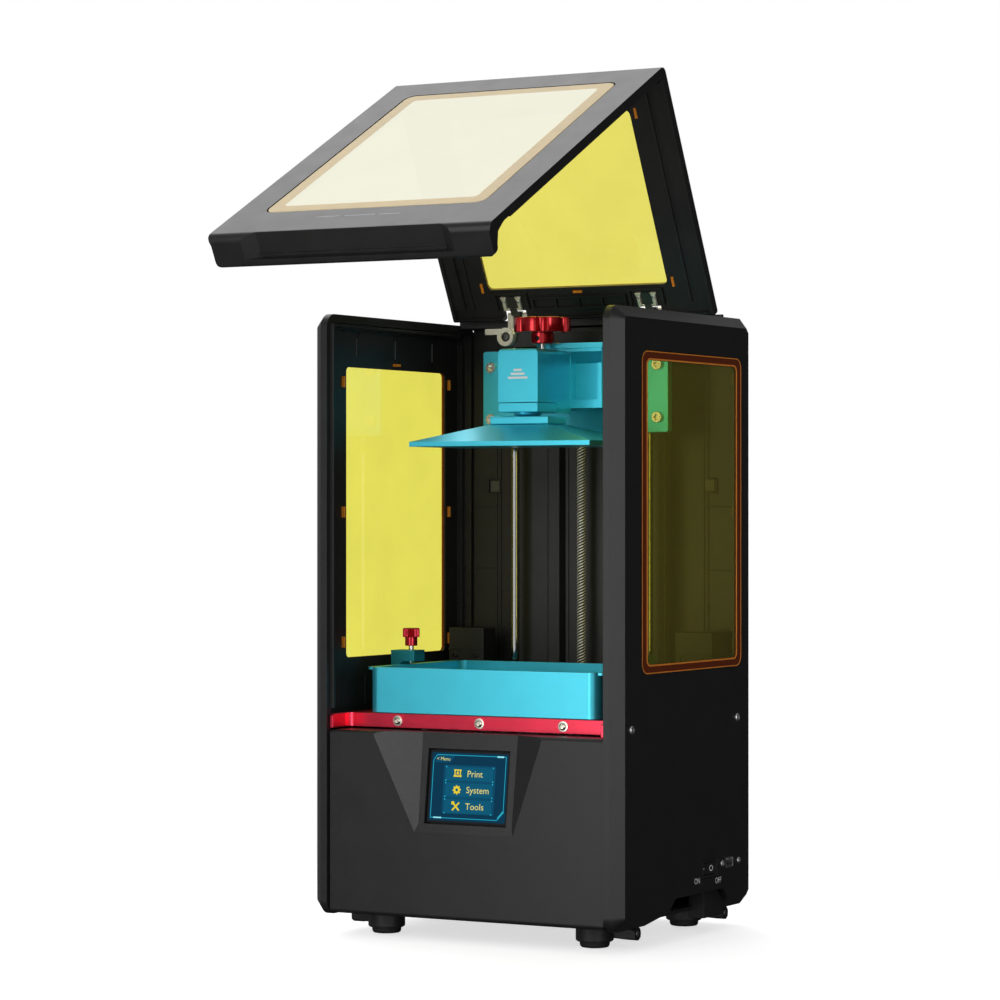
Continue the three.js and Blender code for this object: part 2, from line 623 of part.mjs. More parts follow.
function bearing() {
  return cut(prismZ(rect(ROD_X - 9, ROD_X + 9, SLIDER_FRONT, 75, 2, 2), 342, 384),
    cylZ(ROD_X, ROD_Y, ROD_R + GAP, 330, 390));
}

part('carriage_plate', carriagePlate(), 'blue');
part('carriage_arm', carriageArm(), 'blue');
part('lead_nut', leadNut(), 'brass');
pair('bearing', bearing(), 'darkMetal');

// ---------------------------------------------------------------- build platform and clamp knob
const BUILD_PLATE = centred(68.2, LCD_Y, 38);
const PLATE_Z = 324.1;            // underside of the build plate, platform raised
const BALL_Y = -10.4;

// flat strip, tongue between the arm's cheeks, and the ball socket underneath
function platformMount() {
  return add(
    box(-ARM_HALF, ARM_HALF, ARM_FRONT, 3, 347.1, 353.4),
    box(-11.5, 11.5, 2.8, 18, 347.1, 353.4),
    turned(0, BALL_Y, [[0, 344.9], [8.4, 344.9], [9.4, 346], [9.4, 347.6], [0, 347.6]]));
}

function ballStud() {
  return turned(0, BALL_Y, [
    [0, 339.4], [5.2, 339.4], [6.2, 341.2], [6.2, 343], [5, 344.6], [0, 344.6],
  ]);
}

// block with a pocket for the ball stud
function platformBoss() {
  return cut(box(-22.2, 22.2, -22.9, 2.9, 338.9, 344.4),
    turned(0, BALL_Y, [[0, 339.1], [5.5, 339.1], [6.6, 341], [6.6, 346], [0, 346]]));
}

// thin edge strip under a low pyramid
function buildPlate() {
  return add(
    box(...BUILD_PLATE, PLATE_Z, 327.4),
    frustum(BUILD_PLATE, 327.3, [-23.5, 23.5, -24.2, 4.2], 338.6));
}

function clampKnob() {
  const lobes = 7;
  const lobeRadii = [19.4, 19.3, 19, 17.2, 16.2, 17.2, 19, 19.3];
  const head = ring(0, KNOB_Y, lobeRadii, lobes * lobeRadii.length, -Math.PI / 2);
  const hub = turned(0, KNOB_Y, [[0, 393.8], [7.2, 393.8], [7.8, 394.4], [7.8, 402], [0, 402]]);
  return cut(add(prismZ(head, 401.4, 411.6), hub), cylZ(0, KNOB_Y, 2.3, 390, 404));
}

part('platform_mount', platformMount(), 'blue');
part('ball_stud', ballStud(), 'steel');
part('platform_boss', platformBoss(), 'blue');
part('build_plate', buildPlate(), 'blue');
part('clamp_knob', clampKnob(), 'red');
part('knob_screw', cylZ(0, KNOB_Y, 2, 353.9, 403), 'steel');

// ---------------------------------------------------------------- resin vat and its clamps
const VAT = [-86, 86, -74, 47.5];                   // outside of the vat, x and y
const VAT_Z0 = 147.3, VAT_Z1 = 177.2;
const FILM_OPENING = centred(70.6, LCD_Y, 40.3);
const CLAMP_Y = -19, CLAMP_HALF = 7;
const THUMB_X = 86.8, THUMB_Y = CLAMP_Y + 2;        // axis of the thumbscrew
// clamp post and the finger reaching over the vat's lip, [x, z]
const CLAMP_PROFILE = [
  [90, 147.3], [97.5, 147.3], [97.5, 186.6], [79.2, 186.6], [79.2, 179.2], [90, 179.2],
];

function vat() {
  const bowl = cut(prismZ(rect(...VAT, 7, 5), VAT_Z0, VAT_Z1),
    prismZ(rect(...grown(VAT, -3.4), 5, 4), VAT_Z0 + 3.2, VAT_Z1 + 1),
    prismZ(rect(...FILM_OPENING, 3, 2), 140, 160));
  const sideLips = cut(prismZ(rect(...grown(VAT, 3.2, -3), 3, 2), VAT_Z1 - 1.8, VAT_Z1),
    prismZ(rect(...grown(VAT, -2, 5)), 170, 180));
  return add(bowl, sideLips);
}

function filmFrame() {
  return cut(prismZ(rect(...grown(FILM_OPENING, 6.4), 4, 2), 150.8, 152.4),
    prismZ(rect(...grown(FILM_OPENING, 0.6), 3, 2), 150, 153));
}

function vatClamp() {
  return cut(prismY(CLAMP_PROFILE, CLAMP_Y - CLAMP_HALF, CLAMP_Y + CLAMP_HALF),
    cylZ(THUMB_X, THUMB_Y, 2.1, 170, 190, 16));
}

function thumbscrew() {
  return add(
    prismZ(ring(THUMB_X, THUMB_Y, [5.75, 5.2], 32), 195.2, 201.4),        // fluted head
    cylZ(THUMB_X, THUMB_Y, 4.2, 189.4, 195.4, 20),
    cylZ(THUMB_X, THUMB_Y, 1.7, 177.6, 190, 16));
}

part('vat', vat(), 'blue');
part('vat_film', prismZ(rect(...grown(FILM_OPENING, -0.4), 2.6, 2), 147.35, 147.75), 'film');
part('film_frame', filmFrame(), 'steel');
pair('vat_clamp', vatClamp(), 'blue');
pair('thumbscrew', thumbscrew(), 'red');

// ---------------------------------------------------------------- hinges
const LEAF_HALF = 8;              // half width of bracket and arm
const KNUCKLE_R = 3;
const ARM_TONGUE_HALF = 3.2;      // arm's tongue between the bracket's knuckles
// side view of the arm's tongue, [y, z]
const HINGE_TONGUE = [
  [66, 409.9], [70.6, 409.9], [73.4, 413.4], [75.6, 417.8],
  [72.4, 419.6], [69.8, 415], [68.6, 412.2], [66, 412.2],
];

function hingeBracket() {
  const xMin = HINGE_X - LEAF_HALF;
  const xMax = HINGE_X + LEAF_HALF;
  const knuckles = [[xMin, HINGE_X - 3.6], [HINGE_X + 3.6, xMax]].flatMap(([from, to]) => [
    box(from, to, 71.1, 75.9, 407, LID_PIVOT_Z),
    cylX(LID_PIVOT_Y, LID_PIVOT_Z, KNUCKLE_R, from, to, 16),
  ]);
  return add(
    box(xMin, xMax, 54.6, 76, 405.2, 407.6),
    box(xMin, xMax, 54.6, 57.4, 396.4, 407.6),
    box(HINGE_X + 7.5, HINGE_X + 17, 54.6, 57.4, 403.6, 407.6),           // outward wing
    cylY(HINGE_X, 401.8, 6.4, 51.6, 57.4),
    ...knuckles,
    cylX(LID_PIVOT_Y, LID_PIVOT_Z, 1.2, xMin, xMax, 12));                 // pressed-in pin
}

function hingeArm() {
  const tongueMin = HINGE_X - ARM_TONGUE_HALF;
  const tongueMax = HINGE_X + ARM_TONGUE_HALF;
  const arm = add(
    box(HINGE_X - LEAF_HALF, HINGE_X + LEAF_HALF, 57, 67.2, 409.9, 412.2),
    prismX(HINGE_TONGUE, tongueMin, tongueMax),
    cylX(LID_PIVOT_Y, LID_PIVOT_Z, KNUCKLE_R, tongueMin, tongueMax, 16));
  return cut(arm, cylX(LID_PIVOT_Y, LID_PIVOT_Z, 1.6, HINGE_X - 5, HINGE_X + 5, 12));
}

pair('hinge_bracket', hingeBracket(), 'steel');
pair('hinge_arm', hingeArm(), 'steel', lidGroup);

// ---------------------------------------------------------------- lid, drawn shut
const LID_HALF = 101.4;
const LID_FRONT = -102.5, LID_TOP = 415.5;          // outer faces
const LID_REAR = 75, LID_BOTTOM = 151.8;
const LID_SKIN = 3, LID_SIDE_SKIN = 2.5;
const LID_INNER_FRONT = LID_FRONT + LID_SKIN, LID_INNER_TOP = LID_TOP - LID_SKIN;
const RECESS_DEPTH = 2, INSERT_THICK = 1.7;
const LID_INSERT_GAP = 0.4;       // around a window insert in its recess
const TOP_RECESS = [-78.6, 78.6, -82.6, 60.6];      // x and y
const FRONT_OPENING = [-70, 70, 197, 379];          // x and z
const FRONT_RECESS = [-79.6, 79.6, 187.6, 388.6];   // x and z
const LID_TAB_HALF = 3.6;         // half length of a clip tab
// clip tabs: x, then y (top) or z (front), long axis (0 along x, 1 along the other)
const TOP_TABS = [[-74.2, 50.6, 1], [74.2, 50.6, 1], [-74.2, -71.5, 1], [74.2, -71.5, 1], [0, 55.4, 0]];
const FRONT_TABS = [
  [-74.4, 203, 1], [74.4, 203, 1], [-74.4, 372, 1], [74.4, 372, 1], [0, 192.4, 0], [0, 383.6, 0],
];
// side view, [y, z, radius, segments]
const LID_PROFILE = [
  [LID_FRONT, LID_BOTTOM, 3.5, 3], [-80.4, LID_BOTTOM, 1.6, 2], [-80.4, 156.6, 1, 1],
  [-86.5, 158.2], [-93.2, 162.5, 3, 2], [-95.9, 172, 6, 2], [-95.9, 408.9],
  [LID_REAR, 408.9, 1.5, 1], [LID_REAR, LID_TOP, 1.5, 2], [LID_FRONT, LID_TOP, 5, 4],
];
// hollow between the side skins, [y, z]
const LID_HOLLOW = [
  [LID_INNER_FRONT, 157], [LID_INNER_FRONT, LID_INNER_TOP], [LID_REAR - 2.5, LID_INNER_TOP],
  [LID_REAR - 2.5, 405], [-90, 405], [-70, 157],
];

function topTabs(grow, zMin) {
  const tabs = TOP_TABS.map((tab) => tabBounds(tab, LID_TAB_HALF, grow));
  return add(...tabs.map((bounds) => box(...bounds, zMin, LID_TOP - 1)));
}

function frontTabs(grow, yMax) {
  const tabs = FRONT_TABS.map((tab) => tabBounds(tab, LID_TAB_HALF, grow));
  return add(...tabs.map(([xMin, xMax, zMin, zMax]) =>
    box(xMin, xMax, LID_FRONT + 1, yMax, zMin, zMax)));
}

// rails inside the long edges and the ribs around the right hinge
function lidRailsAndRibs() {
  const railMin = 90.4;
  const railMax = LID_HALF - 2;
  const ribMin = HINGE_X - 13;
  const ribMax = HINGE_X + 13;
  const rib = (xMin, xMax, rear) =>
    box(xMin, xMax, 54, rear, LID_INNER_TOP - 2, LID_INNER_TOP + 0.5);
  return add(
    box(railMin, railMax, -92, 66, LID_INNER_TOP - 2.2, LID_INNER_TOP + 0.5),
    box(railMin, railMax, LID_INNER_FRONT - 0.5, LID_INNER_FRONT + 2.2, 175, 400),
    rib(ribMin, ribMax, 55.6),
    rib(ribMin, ribMin + 1.4, 67),
    rib(ribMax - 1.4, ribMax, 67));
}

function lidShell() {
  const hollowHalf = LID_HALF - LID_SIDE_SKIN;
  const shell = cut(prismX(outline(LID_PROFILE), -LID_HALF, LID_HALF),
    prismX(LID_HOLLOW, -hollowHalf, hollowHalf));
  return cut(shell.add(bothSides(lidRailsAndRibs())),
    bothSides(box(HINGE_X - 8.7, HINGE_X + 8.7, 68, 78, 400, 420)),
    // the lip ends step in, clear of the side panels' seat flanges
    bothSides(box(99.9, 103, -95.7, -70, 150, 178)),
    // finger recess in the lip
    prismY(symmetric([[75.5, 150], [73.5, 154.4]]), -110, -85.5),
    // window openings, each with a shallow recess for its insert
    prismZ(rect(...grown(TOP_RECESS, -8.6), 3.5, 3), 400, 420),
    prismZ(rect(...TOP_RECESS, 7, 4), LID_TOP - RECESS_DEPTH, 420),
    prismY(rect(...FRONT_OPENING, 3.5, 3), -110, -90),
    prismY(rect(...FRONT_RECESS, 7, 4), -110, LID_FRONT + RECESS_DEPTH),
    topTabs(GAP, 408),
    frontTabs(GAP, -96));
}

function lidTopWindow() {
  const edge = rect(...grown(TOP_RECESS, -LID_INSERT_GAP), 6.7, 4);
  return add(prismZ(edge, LID_TOP - INSERT_THICK, LID_TOP), topTabs(0, 412.1));
}

function lidFrontWindow() {
  const edge = rect(...grown(FRONT_RECESS, -LID_INSERT_GAP), 6.7, 4);
  return add(prismY(edge, LID_FRONT, LID_FRONT + INSERT_THICK), frontTabs(0, -99.1));
}

part('lid_shell', lidShell(), 'black', lidGroup);
part('lid_top_window', lidTopWindow(), 'amber', lidGroup);
part('lid_front_window', lidFrontWindow(), 'amber', lidGroup);

export default object;
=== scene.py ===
"""Looks of a desktop resin printer with its lid open, built round the CAD frame.

The layout is in millimetres: x to the right as seen from the front, y towards the back with 0 in
the middle of the side panels' depth, z up. Lid pieces are laid out closed and then swung open.
Finished pieces are written in metres in the frame's own coordinates.
"""
import json
from math import acos, asin, atan2, cos, hypot, pi, radians, sin, sqrt, tan, tau

import bmesh
import bpy
from mathutils import Matrix, Vector

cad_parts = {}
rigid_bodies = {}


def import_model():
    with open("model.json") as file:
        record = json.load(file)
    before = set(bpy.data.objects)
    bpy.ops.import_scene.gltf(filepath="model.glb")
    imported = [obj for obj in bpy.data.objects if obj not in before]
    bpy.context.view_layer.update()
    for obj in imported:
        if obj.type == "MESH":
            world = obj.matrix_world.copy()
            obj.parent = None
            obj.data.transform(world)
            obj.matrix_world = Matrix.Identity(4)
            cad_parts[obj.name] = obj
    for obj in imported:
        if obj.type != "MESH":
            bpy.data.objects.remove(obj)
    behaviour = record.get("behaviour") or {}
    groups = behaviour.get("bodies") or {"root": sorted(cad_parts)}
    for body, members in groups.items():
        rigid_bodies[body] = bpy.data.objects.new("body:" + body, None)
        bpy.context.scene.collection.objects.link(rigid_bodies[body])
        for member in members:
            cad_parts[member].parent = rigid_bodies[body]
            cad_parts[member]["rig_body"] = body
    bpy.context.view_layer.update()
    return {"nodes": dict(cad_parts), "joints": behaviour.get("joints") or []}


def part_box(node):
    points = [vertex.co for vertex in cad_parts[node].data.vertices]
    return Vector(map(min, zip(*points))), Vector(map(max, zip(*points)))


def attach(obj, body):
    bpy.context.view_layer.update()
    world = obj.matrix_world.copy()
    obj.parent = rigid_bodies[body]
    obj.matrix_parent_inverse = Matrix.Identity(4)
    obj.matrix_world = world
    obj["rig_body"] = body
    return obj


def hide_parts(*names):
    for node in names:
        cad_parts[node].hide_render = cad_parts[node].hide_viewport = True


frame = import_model()
scene = bpy.context.scene
MM = 0.001
SIDES = (("left", -1), ("right", 1))

panel_lo, panel_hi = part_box("side_panel_right")
MID_Y = (panel_lo.y + panel_hi.y) / 2        # layout y = 0 in the frame
hinge_joint = next(joint for joint in frame["joints"] if joint["name"] == "lid_hinge")
PIVOT = Vector(hinge_joint["pos_m"])
LID_ANGLE = radians(hinge_joint["range_deg"][0])

TO_FRAME = Matrix.Translation((0, MID_Y, 0)) @ Matrix.Diagonal((MM, MM, MM, 1))
TO_OPEN_LID = (Matrix.Translation(PIVOT) @ Matrix.Rotation(LID_ANGLE, 4, "X")
               @ Matrix.Translation(-PIVOT) @ TO_FRAME)


# ------------------------------------------------------------------ shader graphs
class Graph:
    """Adds shader nodes to a material or a world."""

    def __init__(self, owner, output="OutputMaterial"):
        owner.use_nodes = True
        self.tree = owner.node_tree
        self.tree.nodes.clear()
        self.output = self.node(output)

    def node(self, kind, inputs=None, **settings):
        """inputs maps a socket to a value, a socket, or a node whose first output is used."""
        node = self.tree.nodes.new("ShaderNode" + kind)
        for key, value in settings.items():
            setattr(node, key, value)
        for key, value in (inputs or {}).items():
            self.feed(node, key, value)
        return node

    def feed(self, node, key, value):
        if isinstance(value, bpy.types.Node):
            value = value.outputs[0]
        if isinstance(value, bpy.types.NodeSocket):
            self.tree.links.new(value, node.inputs[key])
        else:
            node.inputs[key].default_value = value

    def finish(self, shader):
        self.feed(self.output, "Surface", shader)

    def coords(self):
        return self.node("TexCoord").outputs["Object"]

    def noise(self, vector, scale, detail, roughness=0.5):
        return self.node("TexNoise", {"Vector": vector, "Scale": scale, "Detail": detail,
                                      "Roughness": roughness})

    def math(self, operation, first, second):
        return self.node("Math", {0: first, 1: second}, operation=operation)

    def mix(self, share, first, second):
        return self.node("MixShader", {"Fac": share, 1: first, 2: second})

    def map_range(self, value, source, target, **settings):
        return self.node("MapRange", {"Value": value, "From Min": source[0],
                                      "From Max": source[1], "To Min": target[0],
                                      "To Max": target[1]}, **settings)

    def ramp(self, factor, *stops):
        """Colour ramp through two stops (position, colour)."""
        ramp = self.node("ValToRGB", {"Fac": factor})
        for element, (position, color) in zip(ramp.color_ramp.elements, stops):
            element.position = position
            element.color = (*color, 1)
        return ramp

    def outer_face(self):
        """1 on the face that is looked at, 0 on the back of the surface."""
        geometry = self.node("NewGeometry")
        return self.math("SUBTRACT", 1.0, geometry.outputs["Backfacing"])


MATERIALS = {}


def new_material(name):
    MATERIALS[name] = bpy.data.materials.new(name)
    return Graph(MATERIALS[name])


def scaled(color, factor):
    return tuple(channel * factor for channel in color)


BLACK, WHITE = (0, 0, 0), (1, 1, 1)
WEAR_COLOR = (0.05, 0.05, 0.052, 1)


def edge_wear(graph, coords, color, amount):
    """Shows the wear colour in patches along the hard edges."""
    geometry = graph.node("NewGeometry")
    edges = graph.ramp(geometry.outputs["Pointiness"], (0.52, BLACK), (0.60, WHITE))
    patches = graph.ramp(graph.noise(coords, scale=420.0, detail=4.0),
                         (0.45, BLACK), (0.62, WHITE))
    share = graph.math("MULTIPLY", graph.math("MULTIPLY", edges, patches), amount)
    # sockets of the colour mix: 0 factor, 6 and 7 the two colours, output 2 the result
    mix = graph.node("Mix", {0: share, 6: color, 7: WEAR_COLOR}, data_type="RGBA")
    return mix.outputs[2]


def surface(name, color, rough, grain, bump, vary, metal=0.0, spec=0.5, rough_vary=0.08,
            wear=0.0, coat=0.0, coat_rough=0.1, stretch=None):
    """Opaque finish: fine grain in the bump, slow variation in colour and roughness.

    grain is the scale of the fine noise and bump its depth in mm; vary and rough_vary are the
    shares by which colour and roughness swing; stretch scales the grain per axis for brushing.
    """
    graph = new_material(name)
    coords = graph.coords()
    grain_coords = coords
    if stretch:
        grain_coords = graph.node("Mapping", {"Vector": coords, "Scale": stretch})
    fine = graph.noise(grain_coords, scale=grain, detail=3.0, roughness=0.6)
    slow = graph.noise(coords, scale=60.0, detail=3.0, roughness=0.55)
    tint = graph.ramp(slow, (0.3, scaled(color, 1 - vary)), (0.7, scaled(color, 1 + vary)))
    swing = graph.math("ADD", graph.math("MULTIPLY", fine, 0.35),
                       graph.math("MULTIPLY", slow, 0.65))
    roughness = graph.map_range(swing, source=(0.3, 0.7),
                                target=(rough * (1 - rough_vary), rough * (1 + rough_vary)))
    if wear:
        tint = edge_wear(graph, coords, tint, wear)
    normal = graph.node("Bump", {"Height": fine, "Strength": 0.35, "Distance": bump * MM})
    graph.finish(graph.node("BsdfPrincipled", {
        "Base Color": tint, "Roughness": roughness, "Normal": normal, "Metallic": metal,
        "IOR": 1.5, "Specular IOR Level": spec, "Coat Weight": coat,
        "Coat Roughness": coat_rough}))


def painted_sheen_layer(graph, slow, clear, color, least, most):
    """Painted reflection: a pale glow on the outer face that grows as the view flattens, from a
    least to a most share.
    """
    sheen_tint = graph.ramp(slow, (0.3, scaled(color, 0.985)), (0.7, color))
    pale = graph.node("Emission", {"Color": sheen_tint, "Strength": 1.0})
    facing = graph.node("LayerWeight", {"Blend": 0.5}).outputs["Facing"]
    amount = graph.map_range(facing, source=(0.30, 0.62), target=(least, most),
                             interpolation_type="SMOOTHSTEP")
    return graph.mix(graph.math("MULTIPLY", amount, graph.outer_face()), clear, pale)


def acrylic(name, tint, haze_color, haze, rough=0.03, ior=1.49, painted_sheen=None):
    """Cast acrylic sheet: tinted see-through with haze inside and a clear reflection on top."""
    graph = new_material(name)
    coords = graph.coords()
    slow = graph.noise(coords, scale=25.0, detail=2.0)
    clear = graph.node("BsdfTransparent", {
        "Color": graph.ramp(slow, (0.3, scaled(tint, 0.97)), (0.7, tint))})
    haze_input = {"Color": (*haze_color, 1)}
    cloud = graph.mix(0.5, graph.node("BsdfDiffuse", haze_input),
                      graph.node("BsdfTranslucent", haze_input))
    body = graph.mix(haze, clear, cloud)
    # The bump that goes with this gloss is not linked: the reflection stays flat.
    gloss = graph.node("BsdfGlossy", {"Roughness": rough})
    # both faces of the sheet reflect, gathered on the face that is looked at: 2F / (1 + F)
    fresnel = graph.node("Fresnel", {"IOR": ior})
    both = graph.math("DIVIDE", graph.math("MULTIPLY", fresnel, 2.0),
                      graph.math("ADD", fresnel, 1.0))
    shader = graph.mix(graph.math("MULTIPLY", both, graph.outer_face()), body, gloss)
    # optional painted reflection: a pale glow laid over the sheet's outer face
    if painted_sheen:
        shader = painted_sheen_layer(graph, slow, shader, **painted_sheen)
    graph.finish(shader)


def glow(name, color):
    """Lit pixels behind glass: an even glow, faintly uneven, with a weak reflection on top."""
    graph = new_material(name)
    cells = graph.noise(graph.coords(), scale=300.0, detail=1.0)
    light = graph.node("Emission", {
        "Color": graph.ramp(cells, (0.2, scaled(color, 0.93)), (0.8, color)), "Strength": 1.0})
    graph.finish(graph.mix(0.02, light, graph.node("BsdfGlossy", {"Roughness": 0.08})))


# ------------------------------------------------------------------ materials
surface("satin_black", color=(0.0145, 0.0145, 0.0150), rough=0.37, spec=0.42, grain=2600,
        bump=0.018, vary=0.12, wear=0.10)
surface("lid_black", color=(0.0150, 0.0147, 0.0145), rough=0.38, spec=0.40, grain=2600,
        bump=0.018, vary=0.12, wear=0.10)
surface("moulded_black", color=(0.0145, 0.0150, 0.0150), rough=0.50, spec=0.42, grain=1800,
        bump=0.03, vary=0.15)
surface("coated_metal", color=(0.018, 0.018, 0.0175), rough=0.42, metal=0.1, spec=0.45,
        grain=1500, bump=0.03, vary=0.15)
surface("blue_anodised", color=(0.070, 0.68, 0.86), rough=0.34, metal=0.74, grain=3200,
        bump=0.006, vary=0.025, rough_vary=0.03, coat=0.35, coat_rough=0.25)
surface("blue_dark_anodised", color=(0.030, 0.34, 0.40), rough=0.36, metal=0.80, grain=3200,
        bump=0.006, vary=0.03, rough_vary=0.03)
surface("red_anodised", color=(0.92, 0.035, 0.085), rough=0.24, metal=0.80, grain=2600,
        bump=0.006, vary=0.04, rough_vary=0.05, coat=0.4, coat_rough=0.2)
surface("red_knob", color=(0.52, 0.008, 0.014), rough=0.16, metal=0.75, grain=2600,
        bump=0.004, vary=0.04, rough_vary=0.05, coat=0.4)
surface("red_dark_knob", color=(0.50, 0.014, 0.030), rough=0.24, metal=0.8, grain=2600,
        bump=0.006, vary=0.05, coat=0.3)
surface("steel", color=(0.60, 0.60, 0.60), rough=0.28, metal=1.0, grain=1400, bump=0.008,
        vary=0.06, stretch=(1, 1, 6))
surface("nickel", color=(0.84, 0.81, 0.70), rough=0.26, metal=1.0, grain=1400, bump=0.006,
        vary=0.05)
surface("chrome_rod", color=(0.27, 0.27, 0.27), rough=0.05, metal=1.0, grain=900, bump=0.003,
        vary=0.03)
surface("hinge_nickel", color=(0.90, 0.86, 0.70), rough=0.26, metal=0.55, grain=1400,
        bump=0.006, vary=0.05)
surface("dark_screw", color=(0.10, 0.10, 0.098), rough=0.32, metal=0.9, grain=1400,
        bump=0.006, vary=0.08)
# near-black for the thread's roots: painted shade between the crests
surface("thread_root_shade", color=(0.012, 0.011, 0.010), rough=0.5, metal=0.6, grain=2400,
        bump=0.006, vary=0.1)
# opaque pale cream border of the lid windows: painted reflection of a bright light on the sheet's
# border, in place of the clear amber
surface("lid_rim_painted_sheen", color=(0.78, 0.62, 0.36), rough=0.50, spec=0.20, grain=1800,
        bump=0.006, vary=0.06)
# bright orange of the thin bands along the side windows' edges: painted highlight lines
surface("rim_painted_glint", color=(0.85, 0.27, 0.035), rough=0.22, spec=0.6, grain=1800, bump=0.004,
        vary=0.08)
surface("thread_steel", color=(0.88, 0.86, 0.78), rough=0.25, metal=0.6, grain=2400,
        bump=0.006, vary=0.08)
surface("rubber", color=(0.012, 0.012, 0.0125), rough=0.72, spec=0.35, grain=1300, bump=0.05,
        vary=0.2)
surface("bare_aluminium", color=(0.58, 0.59, 0.60), rough=0.38, metal=1.0, grain=1600,
        bump=0.012, vary=0.06, stretch=(8, 1, 1))
surface("brass", color=(0.60, 0.42, 0.16), rough=0.3, metal=1.0, grain=1400, bump=0.01,
        vary=0.07)
surface("circuit_green", color=(0.012, 0.11, 0.045), rough=0.42, coat=0.3, grain=900,
        bump=0.02, vary=0.2)
surface("print_white", color=(0.92, 0.92, 0.92), rough=0.5, grain=1200, bump=0.004, vary=0.04)
surface("print_grey", color=(0.30, 0.31, 0.32), rough=0.5, grain=1200, bump=0.004, vary=0.04)
surface("print_grey_dark", color=(0.06, 0.062, 0.05), rough=0.45, grain=1200, bump=0.004,
        vary=0.06)
surface("screen_bezel", color=(0.006, 0.007, 0.009), rough=0.10, spec=0.6, grain=600,
        bump=0.002, vary=0.1)
surface("display_glass", color=(0.010, 0.011, 0.014), rough=0.08, spec=0.6, grain=600,
        bump=0.002, vary=0.1)
# near-black for strips laid into grooves and slots: painted shade where the gap would be dark
surface("painted_gap_shade", color=(0.002, 0.002, 0.002), rough=0.85, spec=0.15, grain=1200,
        bump=0.02, vary=0.2)
# opaque bright orange of the window tabs: the sheet's own amber, made bright and opaque as a
# painted glint
surface("amber_clip_glint", color=(0.80, 0.26, 0.015), rough=0.3, spec=0.5, grain=1800, bump=0.01,
        vary=0.1)
acrylic("amber_sheet", tint=(0.992, 0.960, 0.37), haze_color=(0.66, 0.58, 0.08), haze=0.04)
# the right window's sheet: a second copy of the same amber, paler and hazier than the left one,
# tuned to that window's brighter look in its light; painted sheen
acrylic("amber_sheet_right", tint=(0.988, 0.958, 0.50), haze_color=(0.70, 0.62, 0.03),
        haze=0.10)
acrylic("amber_rim", tint=(0.42, 0.10, 0.012), haze_color=(0.42, 0.075, 0.012), haze=0.62,
        rough=0.16, ior=1.33)
acrylic("lid_sheet", tint=(0.975, 0.935, 0.40), haze_color=(0.80, 0.74, 0.30), haze=0.08)
# the front sheet carries a painted reflection: a cream glow on its outer face, strongest at flat
# views
acrylic("lid_sheet_front", tint=(0.965, 0.93, 0.50), haze_color=(0.86, 0.82, 0.50), haze=0.10,
        painted_sheen={"color": (0.895, 0.885, 0.735), "least": 0.05, "most": 0.96})
acrylic("lid_rim", tint=(0.80, 0.42, 0.14), haze_color=(0.85, 0.45, 0.20), haze=0.65,
        rough=0.12)
acrylic("clear_film", tint=(0.93, 0.95, 0.97), haze_color=(0.6, 0.62, 0.65), haze=0.10)
glow("ui_back", color=(0.0010, 0.038, 0.082))
glow("ui_panel", color=(0.0015, 0.072, 0.145))
glow("ui_button", color=(0.0020, 0.100, 0.185))
glow("ui_line", color=(0.02, 0.40, 0.55))
glow("ui_bright", color=(0.30, 0.85, 0.95))
glow("ui_yellow", color=(0.85, 0.66, 0.03))
glow("ui_text", color=(0.80, 0.74, 0.20))


# ------------------------------------------------------------------ outlines
def outline(corners):
    """Closed outline from corners (a, b, radius, segments); one segment is a straight cut."""
    points = []
    for i, (x, y, *rounding) in enumerate(corners):
        if not rounding or not rounding[0]:
            points.append((x, y))
            continue
        radius, segments = rounding
        before, after = corners[i - 1], corners[(i + 1) % len(corners)]
        back = Vector((before[0] - x, before[1] - y)).normalized()
        ahead = Vector((after[0] - x, after[1] - y)).normalized()
        half = acos(max(-1, min(1, back.dot(ahead)))) / 2
        reach = radius / tan(half)
        start, end = Vector((x, y)) + back * reach, Vector((x, y)) + ahead * reach
        if segments <= 1:
            points += [tuple(start), tuple(end)]
            continue
        centre = Vector((x, y)) + (back + ahead).normalized() * (radius / sin(half))
        first = atan2(start.y - centre.y, start.x - centre.x)
        sweep = atan2(end.y - centre.y, end.x - centre.x) - first
        while sweep > pi:
            sweep -= tau
        while sweep < -pi:
            sweep += tau
        points += arc(centre.x, centre.y, radius, first, sweep, segments)
    return points


def arc(x, y, radius, start, sweep, steps):
    angles = [start + sweep * i / steps for i in range(steps + 1)]
    return [(x + radius * cos(angle), y + radius * sin(angle)) for angle in angles]


def circle(x, y, radius, segments=48):
    return [(x + radius * cos(tau * i / segments), y + radius * sin(tau * i / segments))
            for i in range(segments)]


def rect(a0, a1, b0, b1, radius=0, segments=6):
    return outline([(a, b, radius, segments) for a, b in ((a0, b0), (a1, b0), (a1, b1), (a0, b1))])


def grow(bounds, by):
    """Bounds (a0, a1, b0, b1, radius) moved outwards."""
    a0, a1, b0, b1, radius = bounds
    return a0 - by, a1 + by, b0 - by, b1 + by, radius + by


def span(side, near, far, centre=0):
    """The two ends of a range measured outwards from centre on one side, in rising order."""
    return sorted((centre + side * near, centre + side * far))


# ------------------------------------------------------------------ solids
def as_object(mesh):
    piece = bpy.data.objects.new("part", mesh)
    scene.collection.objects.link(piece)
    return piece


def from_bmesh(bm):
    mesh = bpy.data.meshes.new("part")
    bm.to_mesh(mesh)
    bm.free()
    return as_object(mesh)


